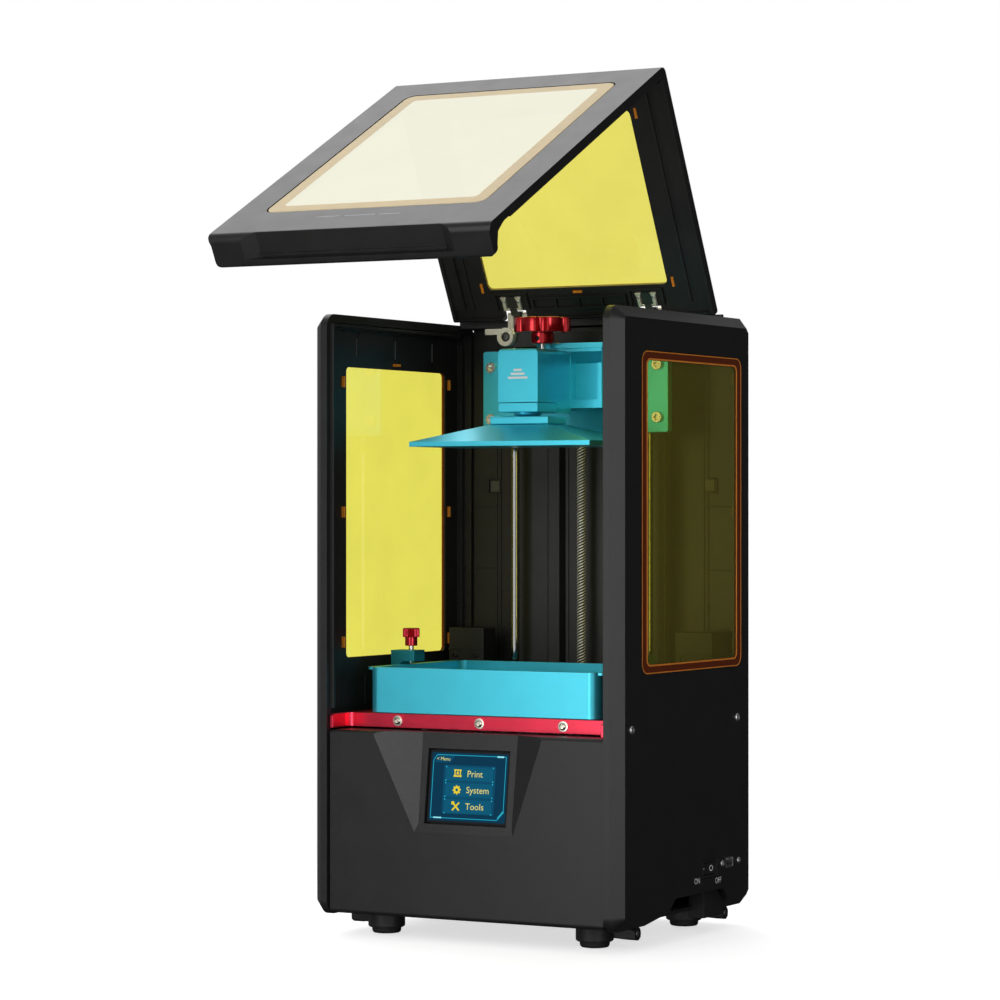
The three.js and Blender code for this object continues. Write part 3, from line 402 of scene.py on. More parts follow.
def skin(rows, capped=True):
    """A skin through rows of equally many points, closed with end faces."""
    count = len(rows[0])
    faces = []
    for i in range(len(rows) - 1):
        for j in range(count):
            k = (j + 1) % count
            faces.append((i * count + j, i * count + k, (i + 1) * count + k, (i + 1) * count + j))
    if capped:
        faces.append(tuple(reversed(range(count))))
        faces.append(tuple((len(rows) - 1) * count + j for j in range(count)))
    mesh = bpy.data.meshes.new("part")
    mesh.from_pydata([tuple(point) for row in rows for point in row], [], faces)
    bm = bmesh.new()
    bm.from_mesh(mesh)
    bmesh.ops.recalc_face_normals(bm, faces=bm.faces)
    bm.to_mesh(mesh)
    bm.free()
    return as_object(mesh)


def along_x(a, b, depth):
    return depth, a, b


def along_y(a, b, depth):
    return a, depth, b


def along_z(a, b, depth):
    return a, b, depth


def prism(place, points, start, end):
    """An outline drawn out between two depths; place maps (a, b, depth) to x, y, z."""
    return skin([[place(a, b, depth) for a, b in points] for depth in (start, end)])


def prism_x(points, x0, x1):
    return prism(along_x, points, x0, x1)


def prism_y(points, y0, y1):
    return prism(along_y, points, y0, y1)


def prism_z(points, z0, z1):
    return prism(along_z, points, z0, z1)


def box(x0, x1, y0, y1, z0, z1):
    return prism_z(rect(x0, x1, y0, y1), z0, z1)


def cylinder_x(y, z, radius, x0, x1, segments=48):
    return prism_x(circle(y, z, radius, segments), x0, x1)


def cylinder_y(x, z, radius, y0, y1, segments=48):
    return prism_y(circle(x, z, radius, segments), y0, y1)


def cylinder_z(x, y, radius, z0, z1, segments=48):
    return prism_z(circle(x, y, radius, segments), z0, z1)


def turned(x, y, profile, segments=64):
    """Turned about the upright through x, y; profile rows are (radius, z)."""
    return skin([[(a, b, z) for a, b in circle(x, y, radius, segments)] for radius, z in profile])


def hull(points):
    bm = bmesh.new()
    for point in points:
        bm.verts.new(point)
    bmesh.ops.remove_doubles(bm, verts=bm.verts, dist=1e-6)
    result = bmesh.ops.convex_hull(bm, input=bm.verts)
    spare = {item for key in ("geom_interior", "geom_unused") for item in result.get(key, [])
             if isinstance(item, bmesh.types.BMVert)}
    if spare:
        bmesh.ops.delete(bm, geom=list(spare), context="VERTS")
    bmesh.ops.recalc_face_normals(bm, faces=bm.faces)
    return from_bmesh(bm)


def drop(piece):
    mesh = piece.data
    bpy.data.objects.remove(piece)
    bpy.data.meshes.remove(mesh)


def combine(target, tools, operation):
    for tool in tools:
        before = target.data
        # the exact solver steps in where the quick one gives nothing
        for solver in ("MANIFOLD", "EXACT"):
            modifier = target.modifiers.new("boolean", "BOOLEAN")
            modifier.operation = operation
            modifier.object = tool
            modifier.solver = solver
            depsgraph = bpy.context.evaluated_depsgraph_get()
            mesh = bpy.data.meshes.new_from_object(target.evaluated_get(depsgraph))
            target.modifiers.clear()
            if len(mesh.polygons) or not len(before.polygons):
                break
        target.data = mesh
        bpy.data.meshes.remove(before)
        drop(tool)
    return target


def cut(target, *tools):
    return combine(target, tools, "DIFFERENCE")


def add(target, *tools):
    return combine(target, tools, "UNION")


def gather(pieces):
    """Joins separate closed solids into one mesh without merging them."""
    bm = bmesh.new()
    for piece in pieces:
        bm.from_mesh(piece.data)
    joined = from_bmesh(bm)
    for piece in pieces:
        drop(piece)
    return joined


def mirrored(piece):
    """The piece itself, mirrored across x = 0."""
    piece.data.transform(Matrix.Diagonal((-1, 1, 1, 1)))
    piece.data.flip_normals()
    return piece


# ------------------------------------------------------------------ finishing
def settle(piece, bm, name, body, sharp):
    """Writes the mesh back smooth with its sharp edges marked, and moves it into the frame."""
    for face in bm.faces:
        face.smooth = True
    for edge in bm.edges:
        edge.smooth = not (len(edge.link_faces) == 2 and edge.calc_face_angle(0) > radians(sharp))
    mesh = piece.data
    bm.to_mesh(mesh)
    bm.free()
    mesh.transform(TO_OPEN_LID if body == "lid" else TO_FRAME)
    piece.name = name
    mesh.name = name


def keep_normals(piece):
    modifier = piece.modifiers.new("normals", "WEIGHTED_NORMAL")
    modifier.keep_sharp = True
    return modifier


def finish(piece, name, material, body="base", replaces=None, bevel=0, segments=2, angle=28,
           sharp=34, tidy=False):
    """Turns a millimetre mesh into a finished piece on its body.

    bevel is the edge width in mm, applied above angle degrees; edges above sharp degrees stay
    hard. Bevelled pieces are always tidied: flat faces made whole, then split where concave.
    """
    mesh = piece.data
    bm = bmesh.new()
    bm.from_mesh(mesh)
    bmesh.ops.remove_doubles(bm, verts=bm.verts, dist=1e-4)
    if bevel or tidy:
        bmesh.ops.dissolve_limit(bm, angle_limit=radians(0.4), verts=bm.verts, edges=bm.edges,
                                 delimit={"MATERIAL"})
        bmesh.ops.connect_verts_concave(bm, faces=[f for f in bm.faces if len(f.verts) > 4])
    bm.normal_update()
    settle(piece, bm, name, body, sharp)
    mesh.materials.clear()
    mesh.materials.append(MATERIALS[material])
    if bevel:
        edges = piece.modifiers.new("edges", "BEVEL")
        edges.width = bevel * MM
        edges.segments = segments
        edges.limit_method = "ANGLE"
        edges.angle_limit = radians(angle)
        edges.profile = 0.6
        edges.use_clamp_overlap = True
        edges.miter_outer = "MITER_ARC" if segments > 1 else "MITER_SHARP"
    keep_normals(piece).weight = 60
    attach(piece, body)
    if replaces:
        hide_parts(replaces)
    return piece


def refine(node, material, bevel, segments=2, angle=28):
    """The CAD node's own shape with its faces made whole and its edges rounded."""
    source = frame["nodes"][node]
    mesh = source.data.copy()
    normals = mesh.attributes.get("custom_normal")
    if normals:
        mesh.attributes.remove(normals)
    mesh.transform(TO_FRAME.inverted())
    bm = bmesh.new()
    bm.from_mesh(mesh)
    bmesh.ops.remove_doubles(bm, verts=bm.verts, dist=2e-3)
    bmesh.ops.dissolve_limit(bm, angle_limit=radians(0.5), verts=bm.verts, edges=bm.edges)
    bm.to_mesh(mesh)
    bm.free()
    finish(as_object(mesh), node + "_skin", material, source["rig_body"], node, bevel, segments,
           angle, tidy=True)


def sheet(name, outer, inner, place, low, high, materials, replaces, body="base"):
    """A sheet with separate middle and border faces between two equally long outlines.

    materials are those of the middle and of the border.
    """
    count = len(outer)
    rounding = 0.35
    corners = [Vector(point) for point in outer]
    shrunk = []
    for i in range(count):
        along = (corners[(i + 1) % count] - corners[i - 1]).normalized()
        shrunk.append(corners[i] - Vector((along.y, -along.x)) * rounding)
    stations = ((inner, low), (shrunk, low), (outer, low + rounding), (outer, high - rounding),
                (shrunk, high), (inner, high))
    piece = skin([[place(*point, depth) for point in points] for points, depth in stations])
    bm = bmesh.new()
    bm.from_mesh(piece.data)
    settle(piece, bm, name, body, sharp=60)
    mesh = piece.data
    for material in materials:
        mesh.materials.append(MATERIALS[material])
    middle = len(mesh.polygons) - 2          # the last two faces are the middle's
    for polygon in mesh.polygons:
        polygon.material_index = int(polygon.index < middle)
    keep_normals(piece)
    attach(piece, body)
    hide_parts(replaces)


def band(name, outer, inner, place, low, high, material, body="base"):
    """A closed band between two outlines with equally many points."""
    stations = ((outer, low), (outer, high), (inner, high), (inner, low), (outer, low))
    rows = [[place(a, b, depth) for a, b in points] for points, depth in stations]
    finish(skin(rows, capped=False), name, material, body)


# turns of an upright screw towards each direction, as matrix rows
TURNS = {"+x": ((0, 0, 1), (1, 0, 0), (0, 1, 0)), "-x": ((0, 0, -1), (-1, 0, 0), (0, 1, 0)),
         "+y": ((-1, 0, 0), (0, 0, 1), (0, 1, 0)), "-y": ((1, 0, 0), (0, 0, -1), (0, 1, 0)),
         "+z": ((1, 0, 0), (0, 1, 0), (0, 0, 1)), "-z": ((1, 0, 0), (0, -1, 0), (0, 0, -1))}
OUTWARDS = {-1: "-x", 1: "+x"}


def screw(name, place, direction, radius, height, material="steel", body="base", cap=False,
          washer=False):
    """A machine screw head, domed or a straight cap, with a hexagonal recess."""
    if washer:
        levels = [(radius * 1.45, 0.0), (radius * 1.45, radius * 0.22),
                  (radius * 1.02, radius * 0.24)]
        foot = radius * 0.24
    else:
        levels = [(radius, -0.15)]
        foot = 0
    if cap:
        levels += [(radius, foot), (radius, foot + height * 0.88), (radius * 0.93, foot + height),
                   (radius * 0.70, foot + height)]
    else:
        for k in range(6):
            rise = k / 5 * 0.80
            levels.append((radius * cos(asin(rise) * 0.98),
                           foot + height * (0.12 + 0.88 * rise / 0.80)))
    top = levels[-1][1]
    recess = [(radius * 0.50, top), (radius * 0.50 * 0.98, top - height * 0.7)]
    turn, steps = 0.3, 48
    rows = []
    for level, (size, z) in enumerate(levels + recess):
        row = []
        for i in range(steps):
            angle = tau * i / steps
            reach = size
            if level >= len(levels):
                reach /= cos(((angle + pi / 6) % (pi / 3)) - pi / 6)
            row.append((reach * cos(angle + turn), reach * sin(angle + turn), z))
        rows.append(row)
    head = skin(rows)
    head.data.transform(Matrix.Translation(place) @ Matrix(TURNS[direction]).to_4x4())
    finish(head, name, material, body, sharp=28)


def lettering(name, words, size, material, place, depth=0.02, align="CENTER"):
    """Thin raised print; place maps (u, v, out) to layout millimetres."""
    curve = bpy.data.curves.new(name, "FONT")
    curve.body = words
    curve.size = size
    curve.align_x = align
    curve.align_y = "CENTER"
    curve.extrude = depth
    curve.resolution_u = 3
    source = as_object(curve)
    depsgraph = bpy.context.evaluated_depsgraph_get()
    mesh = bpy.data.meshes.new_from_object(source.evaluated_get(depsgraph))
    bpy.data.objects.remove(source)
    for vertex in mesh.vertices:
        vertex.co = Vector(place(*vertex.co))
    finish(as_object(mesh), name, material)


def tab_spans(a, b, lengthwise, half_length, half_width):
    """Bounds of a small tab round (a, b); lengthwise is 1 where it is long in b, 0 in a."""
    half_a, half_b = (half_width, half_length) if lengthwise else (half_length, half_width)
    return a - half_a, a + half_a, b - half_b, b + half_b


# ------------------------------------------------------------------ side panels
PANEL_FACE = 115                             # x of the outer face
PANEL_CHAMFER = 7.25
# y0, y1, z0, z1, corner radius
SIDE_OPENING = (-60.2, 72.6, 182.4, 378.2, 3.5)
SIDE_SEAT = (-68.4, 80.8, 176.2, 384.4, 7.5)
SIDE_SHEET = (-68.05, 80.45, 176.55, 384.05, 7.2)
# y, z, 1 where the tab is upright
SIDE_TABS = [(-64.8, 368.0, 1), (-64.8, 280.4, 1), (-64.8, 193.0, 1), (76.8, 370.0, 1),
             (76.8, 280.4, 1), (76.8, 191.0, 1), (5.0, 381.4, 0), (5.0, 179.2, 0)]
# y, z along the recess in the bottom edge
BOTTOM_RECESS = [(-50.5, 10), (-50.5, 13.9), (-31, 19.8), (-19.6, 28.7), (51.4, 28.7),
                 (60.5, 19.5), (62, 10)]


def panel_outline(inset, rear_cut):
    half, low, high = 99.35 - inset, 13.9 + inset, 412 - inset
    radius = 9.75 - inset
    return outline([(-half, low, radius, 12), (half, low, rear_cut, 1),
                    (half, high, rear_cut, 1), (-half, high, radius, 12)])


def panel_rib(y, ends):
    """A tapered rib on the panel; ends are (z, shift in y)."""
    return hull([(111.2 + out, y + across + shift, z)
                 for out, across in ((0, -0.55), (0, 0.55), (0.9, -1.0), (0.9, 1.0))
                 for z, shift in ends])


def side_panel():
    """The right-hand panel without the openings for the ports."""
    rim, face = panel_outline(0, 6.0), panel_outline(PANEL_CHAMFER, 3.0)
    stations = ((103, rim), (PANEL_FACE - PANEL_CHAMFER, rim), (PANEL_FACE, face))
    panel = skin([[(x, a, b) for a, b in points] for x, points in stations])
    panel = cut(panel,
                prism_x(rect(-93.75, 93.75, 19.5, 406.4, 6, 6), 102, 108.2),
                prism_x(rect(-89.75, 89.75, 23.5, 402.4, 5, 6), 108.0, 112.0),
                prism_x(rect(*SIDE_OPENING, 6), 110, 118),
                prism_x(rect(*SIDE_SEAT, 8), 113.4, 118),
                prism_x(BOTTOM_RECESS, 90, 120))
    # inner flanges along the front and the top
    panel = add(panel, box(100.4, 103.6, -94.6, -92.6, 150.5, 405.0),
                box(100.4, 103.6, -94.6, 74.0, 403.4, 405.4))
    ribs = []
    for y in (-47, 4, 54):                   # above the window, with a bent top
        ribs.append(panel_rib(y, ((385.5, 0), (398.0, 0))))
        ribs.append(panel_rib(y, ((397.6, 0), (402.6, 5.0))))
    for y in (-70, -36, -2, 32, 64):         # below the window
        ribs.append(box(111.2, 112.3, y - 0.7, y + 0.7, 150.0, 170.0))
    for z in (214, 240.5, 284, 330):         # level ribs by the rear edge
        ribs.append(box(107.4, 108.6, 89.9, 93.9, z - 0.5, z + 0.5))
    panel = add(panel, *ribs)
    return cut(panel, *[box(110, 116, *tab_spans(*tab, 4.0, 1.2)) for tab in SIDE_TABS])


right_panel = cut(side_panel(), prism_x(rect(20.2, 43.2, 37.5, 49.8, 0.8, 4), 100, 118),
                  prism_x(rect(55.3, 68.7, 41.3, 49.3, 0.8, 4), 100, 118))
finish(right_panel, "panel_right", "satin_black", replaces="side_panel_right", bevel=0.7,
       segments=3)
finish(mirrored(side_panel()), "panel_left", "satin_black", replaces="side_panel_left",
       bevel=0.7, segments=3)


def side_window(side, sign, material):
    def place(a, b, depth):
        return sign * depth, a, b

    sheet(f"window_{side}", rect(*SIDE_SHEET, 8), rect(*SIDE_OPENING, 8), place, 113.7, 114.8,
          (material, "amber_rim"), f"side_window_{side}")
    # thin bright bands along the inner and outer edges of the sheet: painted highlight lines
    band(f"window_glint_inner_{side}", rect(*grow(SIDE_OPENING, 1.1), 8),
         rect(*grow(SIDE_OPENING, 0.1), 8), place, 114.7, 115.05, "rim_painted_glint")
    band(f"window_glint_outer_{side}", rect(*grow(SIDE_SEAT, -0.4), 8),
         rect(*grow(SIDE_SEAT, -1.1), 8), place, 114.6, 114.98, "rim_painted_glint")
    # the tabs show the amber with a painted glint
    clips = [box(*span(sign, 110.2, 113.65), *tab_spans(*tab, 3.7, 0.9)) for tab in SIDE_TABS]
    finish(gather(clips), f"window_clips_{side}", "amber_clip_glint", bevel=0.25)
    for end, y, z in (("front", -82.9, 141.9), ("rear", 73.9, 141.8)):
        screw(f"panel_screw_{end}_{side}", (sign * PANEL_FACE, y, z), OUTWARDS[sign], radius=2.9,
              height=1.4)


side_window("right", 1, "amber_sheet_right")
side_window("left", -1, "amber_sheet")

# ------------------------------------------------------------------ front cover
COVER_FACE = -97.0                           # y of the cover's front face
LEAN = atan2(7.5, 59.8)                      # the screen leans back from upright
COVER_PROFILE = outline([(COVER_FACE, 15.3, 3.0, 8), (-93.6, 15.3), (-93.6, 133.7),
                         (-71.5, 133.7), (-71.5, 136.5), (COVER_FACE, 136.5, 3.0, 10)])


def bay_y(z):
    """y of the leaning floor of the screen bay."""
    return -95.5 + (z - 77) * tan(LEAN)


def level_row(x0, x1, y, z):
    return [(x0, y, z), (x1, y, z)]


def front_cover():
    bay = hull(level_row(-70.2, 58.8, COVER_FACE - 0.01, 138)
               + level_row(36.3, -37.2, COVER_FACE - 0.01, 71.6)
               + level_row(-71.5, 60.0, COVER_FACE - 4, 138)
               + level_row(36.8, -37.8, COVER_FACE - 4, 69)
               + level_row(-35.5, 35.5, bay_y(138), 138)
               + level_row(34.8, -34.8, bay_y(77), 77))
    backing = hull(level_row(-70.2, 58.8, COVER_FACE + 2, 136.5)
                   + level_row(-38, 37, COVER_FACE + 2, 68)
                   + level_row(-38.5, 38.5, bay_y(136.5) + 3.6, 136.5)
                   + level_row(36.5, -36.5, bay_y(70) + 3.6, 70))
    hole = hull([(sign * 30.6, bay_y(z) + deep, z)
                 for sign in (-1, 1) for z in (77.3, 126.2) for deep in (-5, 9)])
    return cut(add(prism_x(COVER_PROFILE, -101.9, 101.9), backing), bay, hole)


finish(front_cover(), "front_cover", "satin_black", replaces="base_front_cover", bevel=0.8,
       segments=3, angle=12)

# ------------------------------------------------------------------ screen
SCREEN_Z = 101.85                            # height of the screen's middle
UI_DEPTH = 1.84                              # depth of the picture below the bay floor
UI_X, UI_UP = 28.4, 22.2                     # half sizes of the picture


def on_screen(x, along, deep):
    """x across, along up the leaning screen, deep into it."""
    return (x, bay_y(SCREEN_Z) + along * sin(LEAN) + deep * cos(LEAN),
            SCREEN_Z + along * cos(LEAN) - deep * sin(LEAN))


module = [prism(on_screen, rect(-30.2, 30.2, -23.75, 23.75, 1.2, 5), 1.9, 4.3),
          prism(on_screen, rect(-34, 34, -26.5, 26.5, 1.5, 4), 4.35, 9.0)]
finish(gather(module), "screen_module", "screen_bezel", replaces="touch_screen", bevel=0.2)


def ui(name, points, material, lift=0.0):
    """A flat patch of the picture, lifted towards the viewer."""
    depth = UI_DEPTH - lift
    finish(prism(on_screen, points, depth, depth - 0.012), "ui_" + name, material)


def ui_bar(name, start, end, width, material, lift):
    start, end = Vector(start), Vector(end)
    along = (end - start).normalized()
    half = Vector((-along.y, along.x)) * (width / 2)
    ui(name, [tuple(p) for p in (start - half, end - half, end + half, start + half)],
       material, lift)


def ui_words(name, words, size, x, along, lift, align="CENTER"):
    def place(u, v, out):
        return on_screen(x + u, along + v, UI_DEPTH - lift - abs(out))

    lettering("ui_" + name, words, size, "ui_text", place, depth=0.01, align=align)


ui("background", rect(-UI_X, UI_X, -UI_UP, UI_UP, 0.4, 3), "ui_back")
UI_FRAME = [(-UI_X + 1.2, UI_UP - 5.2), (-UI_X + 3.8, UI_UP - 1.6), (UI_X - 1.6, UI_UP - 1.6),
            (UI_X - 1.6, -UI_UP + 6.6), (UI_X - 6.2, -UI_UP + 1.8), (-UI_X + 1.2, -UI_UP + 1.8)]
for i, corner in enumerate(UI_FRAME):
    ui_bar(f"edge_{i}", corner, UI_FRAME[(i + 1) % 6], 0.45, "ui_line", 0.02)
ui_bar("corner_bold", (UI_X - 1.4, -UI_UP + 7.6), (UI_X - 5.4, -UI_UP + 3.0), 1.3, "ui_line", 0.035)
ui_bar("dash_top", (UI_X - 8.2, UI_UP - 1.7), (UI_X - 3.2, UI_UP - 1.7), 1.0, "ui_bright", 0.035)
ui_bar("dash_bottom", (-UI_X + 3.4, -UI_UP + 1.9), (-UI_X + 9.4, -UI_UP + 1.9), 0.9,
       "ui_bright", 0.035)
ui("tab", [(-UI_X + 3.6, UI_UP - 2.0), (-UI_X + 17.0, UI_UP - 2.0),
           (-UI_X + 14.0, UI_UP - 6.6), (-UI_X + 2.4, UI_UP - 6.6)], "ui_panel", 0.02)
ui_words("menu_word", "< Menu", 3.3, -UI_X + 8.6, UI_UP - 4.3, 0.04)
ui("panel_back", rect(-19.0, 19.6, -17.4, 14.2, 0.6, 3), "ui_panel", 0.02)

BUTTON_X0, BUTTON_X1, BUTTON_HALF = -17.2, 17.8, 4.4
for i, (word, middle) in enumerate((("Print", 8.6), ("System", -1.9), ("Tools", -12.6))):
    low, high = middle - BUTTON_HALF, middle + BUTTON_HALF
    ui(f"button_{i}", rect(BUTTON_X0, BUTTON_X1, low, high, 0.5, 3), "ui_button", 0.035)
    dots = [(x, along) for along in (high, low) for x in (BUTTON_X0, BUTTON_X1)]
    for j, (x, along) in enumerate(dots):
        ui(f"dot_{i}_{j}", rect(x - 0.45, x + 0.45, along - 0.45, along + 0.45), "ui_line", 0.05)
    ui_words(f"word_{i}", word, 6.0, -1.6, middle, 0.05, align="LEFT")

# icons: a small press, a gear and crossed tools
PRESS = (rect(-11.6, -5.6, 6.6, 7.6), rect(-11.4, -5.8, 10.6, 11.4), rect(-11.0, -10.2, 7.4, 10.8),
         rect(-7.0, -6.2, 7.4, 10.8), [(-9.6, 8.2), (-7.6, 8.2), (-8.2, 10.2), (-9.0, 10.2)])
for k, points in enumerate(PRESS):
    ui(f"icon_a{k}", points, "ui_yellow", 0.05)
GEAR_X, GEAR_ALONG = -8.6, -1.9
gear = []
for i in range(32):
    reach = 3.1 if i % 4 < 2 else 2.3
    gear.append((GEAR_X + reach * cos(tau * i / 32), GEAR_ALONG + reach * sin(tau * i / 32)))
ui("icon_gear", gear, "ui_yellow", 0.05)
ui("icon_gear_hole", circle(GEAR_X, GEAR_ALONG, 1.0, 16), "ui_button", 0.065)
ui_bar("icon_tool0", (-11.2, -15.2), (-6.2, -10.0), 1.1, "ui_yellow", 0.05)
ui_bar("icon_tool1", (-11.2, -10.0), (-6.2, -15.2), 1.1, "ui_yellow", 0.05)
ui("icon_tool_head", rect(-12.0, -9.8, -11.4, -9.4, 0.3, 2), "ui_yellow", 0.06)

# ------------------------------------------------------------------ underside and feet
FOOT_X = 78.3
ARM_Z = 9.6                                  # height of the arm screws beside the feet
# radius, z
FOOT_PROFILE = [(6.6, 0.25), (7.2, 0.0), (8.6, 0.25), (9.35, 0.95), (9.7, 2.0), (9.75, 3.6),
                (9.4, 4.6), (5.05, 4.8), (5.0, 11.0)]
COLLAR_PROFILE = [(11.35, 4.3), (12.0, 4.5), (12.35, 5.2), (12.35, 13.6), (11.35, 13.7)]


def foot(name, sign, y):
    x, arm_y = sign * FOOT_X, y + 5.5
    finish(turned(x, y, FOOT_PROFILE), name + "_pad", "rubber", replaces=name, sharp=50)
    collar = cut(turned(x, y, COLLAR_PROFILE), cylinder_z(x, y, 11.2, 4, 14))
    finish(collar, name + "_collar", "moulded_black", sharp=50)
    arm = hull([(sign * end, arm_y + across, z)
                for end, low, high in ((80, 6.8, 14.2), (101, 5.7, 13.6))
                for z in (low, high) for across in (-3.4, 3.4)])
    lug = add(cylinder_x(arm_y, ARM_Z, 4.3, *span(sign, 99.0, 106.7), 40), arm)
    lug = cut(lug, cylinder_x(arm_y, ARM_Z, 2.5, *span(sign, 105.6, 108), 32))
    finish(lug, name + "_lug", "moulded_black", bevel=0.4)
    screw(name + "_arm_screw", (sign * 105.7, arm_y, ARM_Z), OUTWARDS[sign], radius=2.1,
          height=1.1)


refine("base_tray", "moulded_black", bevel=0.5)
for end, y in (("front", -63.3), ("rear", 67.3)):
    for side, sign in SIDES:
        foot(f"foot_{end}_{side}", sign, y)

# ------------------------------------------------------------------ rear cover, deck, insides
refine("rear_cover", "satin_black", bevel=0.5)
for i, (x, z) in enumerate([(x, z) for z in (30, 150, 270, 396) for x in (-94, 94)]):
    screw(f"rear_screw_{i}", (x, 99.2, z), "+y", radius=2.6, height=1.3, material="coated_metal")
refine("power_jack", "moulded_black", bevel=0.25)
finish(cylinder_y(74, 40, 1.0, 88.6, 97.0, 24), "power_jack_pin", "steel", bevel=0.2)
refine("deck_plate", "red_anodised", bevel=0.35)
for i, x in enumerate((-62, 0, 62)):
    screw(f"deck_screw_{i}", (x, -76.0, 142.3), "-y", radius=2.4, height=1.5,
          material="nickel", washer=True)
refine("lcd_panel", "display_glass", bevel=0.15)
refine("light_hood", "bare_aluminium", bevel=0.2)
refine("uv_lamp_heatsink", "bare_aluminium", bevel=0.15)
refine("main_board", "circuit_green", bevel=0.08, segments=1)
refine("usb_port", "steel", bevel=0.15)
refine("rocker_frame", "moulded_black", bevel=0.25)
refine("rocker_switch", "moulded_black", bevel=0.4)
refine("fan_frame", "moulded_black", bevel=0.3)
refine("fan_rotor", "moulded_black", bevel=0.15)
refine("z_motor", "coated_metal", bevel=0.5)
refine("drive_coupler", "bare_aluminium", bevel=0.3)

# ------------------------------------------------------------------ power rocker and port
ROCKER_X, ROCKER_Y, ROCKER_Z = 107, (20.5 + 42.9) / 2, 43.65
ROCKER_REACH = 112.9 - 107.0                 # from the pivot to the middle of the face
ROCKER_SLOPE = 0.9 / 8.7                     # rise of each half of the face towards its end
ROCKER_TIP = radians(6)


def on_right_face(y, z):
    return lambda u, v, out: (PANEL_FACE + 0.02 + abs(out), y + u, z + v)


def on_rocker(offset):
    """Places print on the tipped rocker face, offset in y from its middle."""
    def place(u, v, out):
        y = offset + u
        reach = ROCKER_REACH + abs(y) * ROCKER_SLOPE + 0.02 + abs(out)
        return (ROCKER_X + reach * cos(ROCKER_TIP) + y * sin(ROCKER_TIP),
                ROCKER_Y - reach * sin(ROCKER_TIP) + y * cos(ROCKER_TIP), ROCKER_Z + v)
    return place


lettering("mark_on", "ON", 5.4, "print_white", on_right_face(12.2, 36.9))
lettering("mark_off", "OFF", 5.4, "print_white", on_right_face(44.2, 34.6))
finish(prism(on_rocker(-5.4), rect(-1.6, 1.6, -0.3, 0.3), 0.0, 0.03), "rocker_mark_dash",
       "print_white", "rocker")
band("rocker_mark_ring", circle(0, 0, 1.9, 32), circle(0, 0, 1.45, 32), on_rocker(4.6), 0, 0.03,
     "print_white", "rocker")
for i, y in enumerate((50.8, 76.2)):
    screw(f"port_screw_{i}", (114.95, y, 45.2), "+x", radius=2.3, height=1.1)
finish(box(104.5, 112.5, 57.6, 66.4, 46.4, 47.8), "port_tongue", "print_grey", bevel=0.15)

# ------------------------------------------------------------------ tower and rear wall
TOWER_Z = (147.0, 394.0)
FOLD_SPANS = ((-57.0, -33.4), (-32.4, -24.2), (-19.2, -16.9), (-15.9, 15.9), (16.9, 19.2),
              (24.2, 32.4), (33.4, 57.0))
# nearest and farthest distance from the middle in x, then y0, y1, z0, z1
WALL_RIBS = ((82.6, 83.4, 95.5, 96.3, 150, 400), (79.4, 80.2, 95.5, 96.3, 150, 400),
             (79.4, 102.2, 95.6, 96.3, 240.05, 240.95), (79.4, 102.2, 95.6, 96.3, 283.55, 284.45),
             (79.4, 90.0, 94.6, 96.3, 293.3, 294.3), (79.4, 90.0, 94.6, 96.3, 302.7, 303.7),
             (89.0, 90.0, 94.6, 96.3, 293.3, 303.7), (78.4, 84.4, 95.0, 96.3, 214.2, 215.0),
             (78.4, 84.4, 95.0, 96.3, 224.1, 224.9))
WALL_CATCH = (80.6, 88.0, 95.2, 96.3, 294.6, 302.4)


def on_both_sides(rows):
    return gather([box(*span(sign, near, far), *rest)
                   for _, sign in SIDES for near, far, *rest in rows])


for node, bevel in (("lower_rod_mount", 0.5), ("upper_rod_mount", 0.5), ("tower_plate", 0.4)):
    refine(node, "coated_metal", bevel)
finish(gather([box(x0, x1, 79.3, 80.1, *TOWER_Z) for x0, x1 in FOLD_SPANS]), "tower_folds",
       "coated_metal", bevel=0.25)
# flat near-black strips on the plate stand for its slots: painted shade
finish(on_both_sides([(19.4, 24.0, 79.85, 80.05, *TOWER_Z)]), "tower_slot_shade", "painted_gap_shade",
       tidy=True)
finish(on_both_sides(WALL_RIBS), "rear_wall_ribs", "moulded_black", bevel=0.2)
finish(on_both_sides([WALL_CATCH]), "rear_wall_catches", "print_grey_dark", bevel=0.3)
for side, sign in SIDES:
    for i, x in enumerate((80.5, 97.0)):
        screw(f"corner_screw_{side}_{i}", (sign * x, 61.0, 180.5), "-y", radius=2.4, height=1.3,
              material="coated_metal")
        finish(box(*span(sign, x - 5.5, x + 5.5), 60.4, 61.1, 183.6, 184.8),
               f"corner_rib_{side}_{i}", "moulded_black", bevel=0.2)
refine("corner_box_right", "moulded_black", bevel=0.6)
refine("corner_box_left", "moulded_black", bevel=0.6)
for side, sign in SIDES:
    rod = turned(sign * 52.0, 66.5, [(2.3, 130.4), (3.0, 131.1), (3.0, 401.9), (2.3, 402.6)], 48)
    finish(rod, f"guide_rod_{side}", "chrome_rod", replaces=f"rod_{side}", sharp=50)

# ------------------------------------------------------------------ lead screw
SCREW_Y = 66.8
THREAD_Z0, THREAD_Z1, THREAD_STEP = 134.0, 400.5, 0.25
THREAD_LEAD = 8.0
THREAD_PITCH = THREAD_LEAD / 4               # four starts
ROOT_RADIUS, CREST_RADIUS = 2.55, 3.2


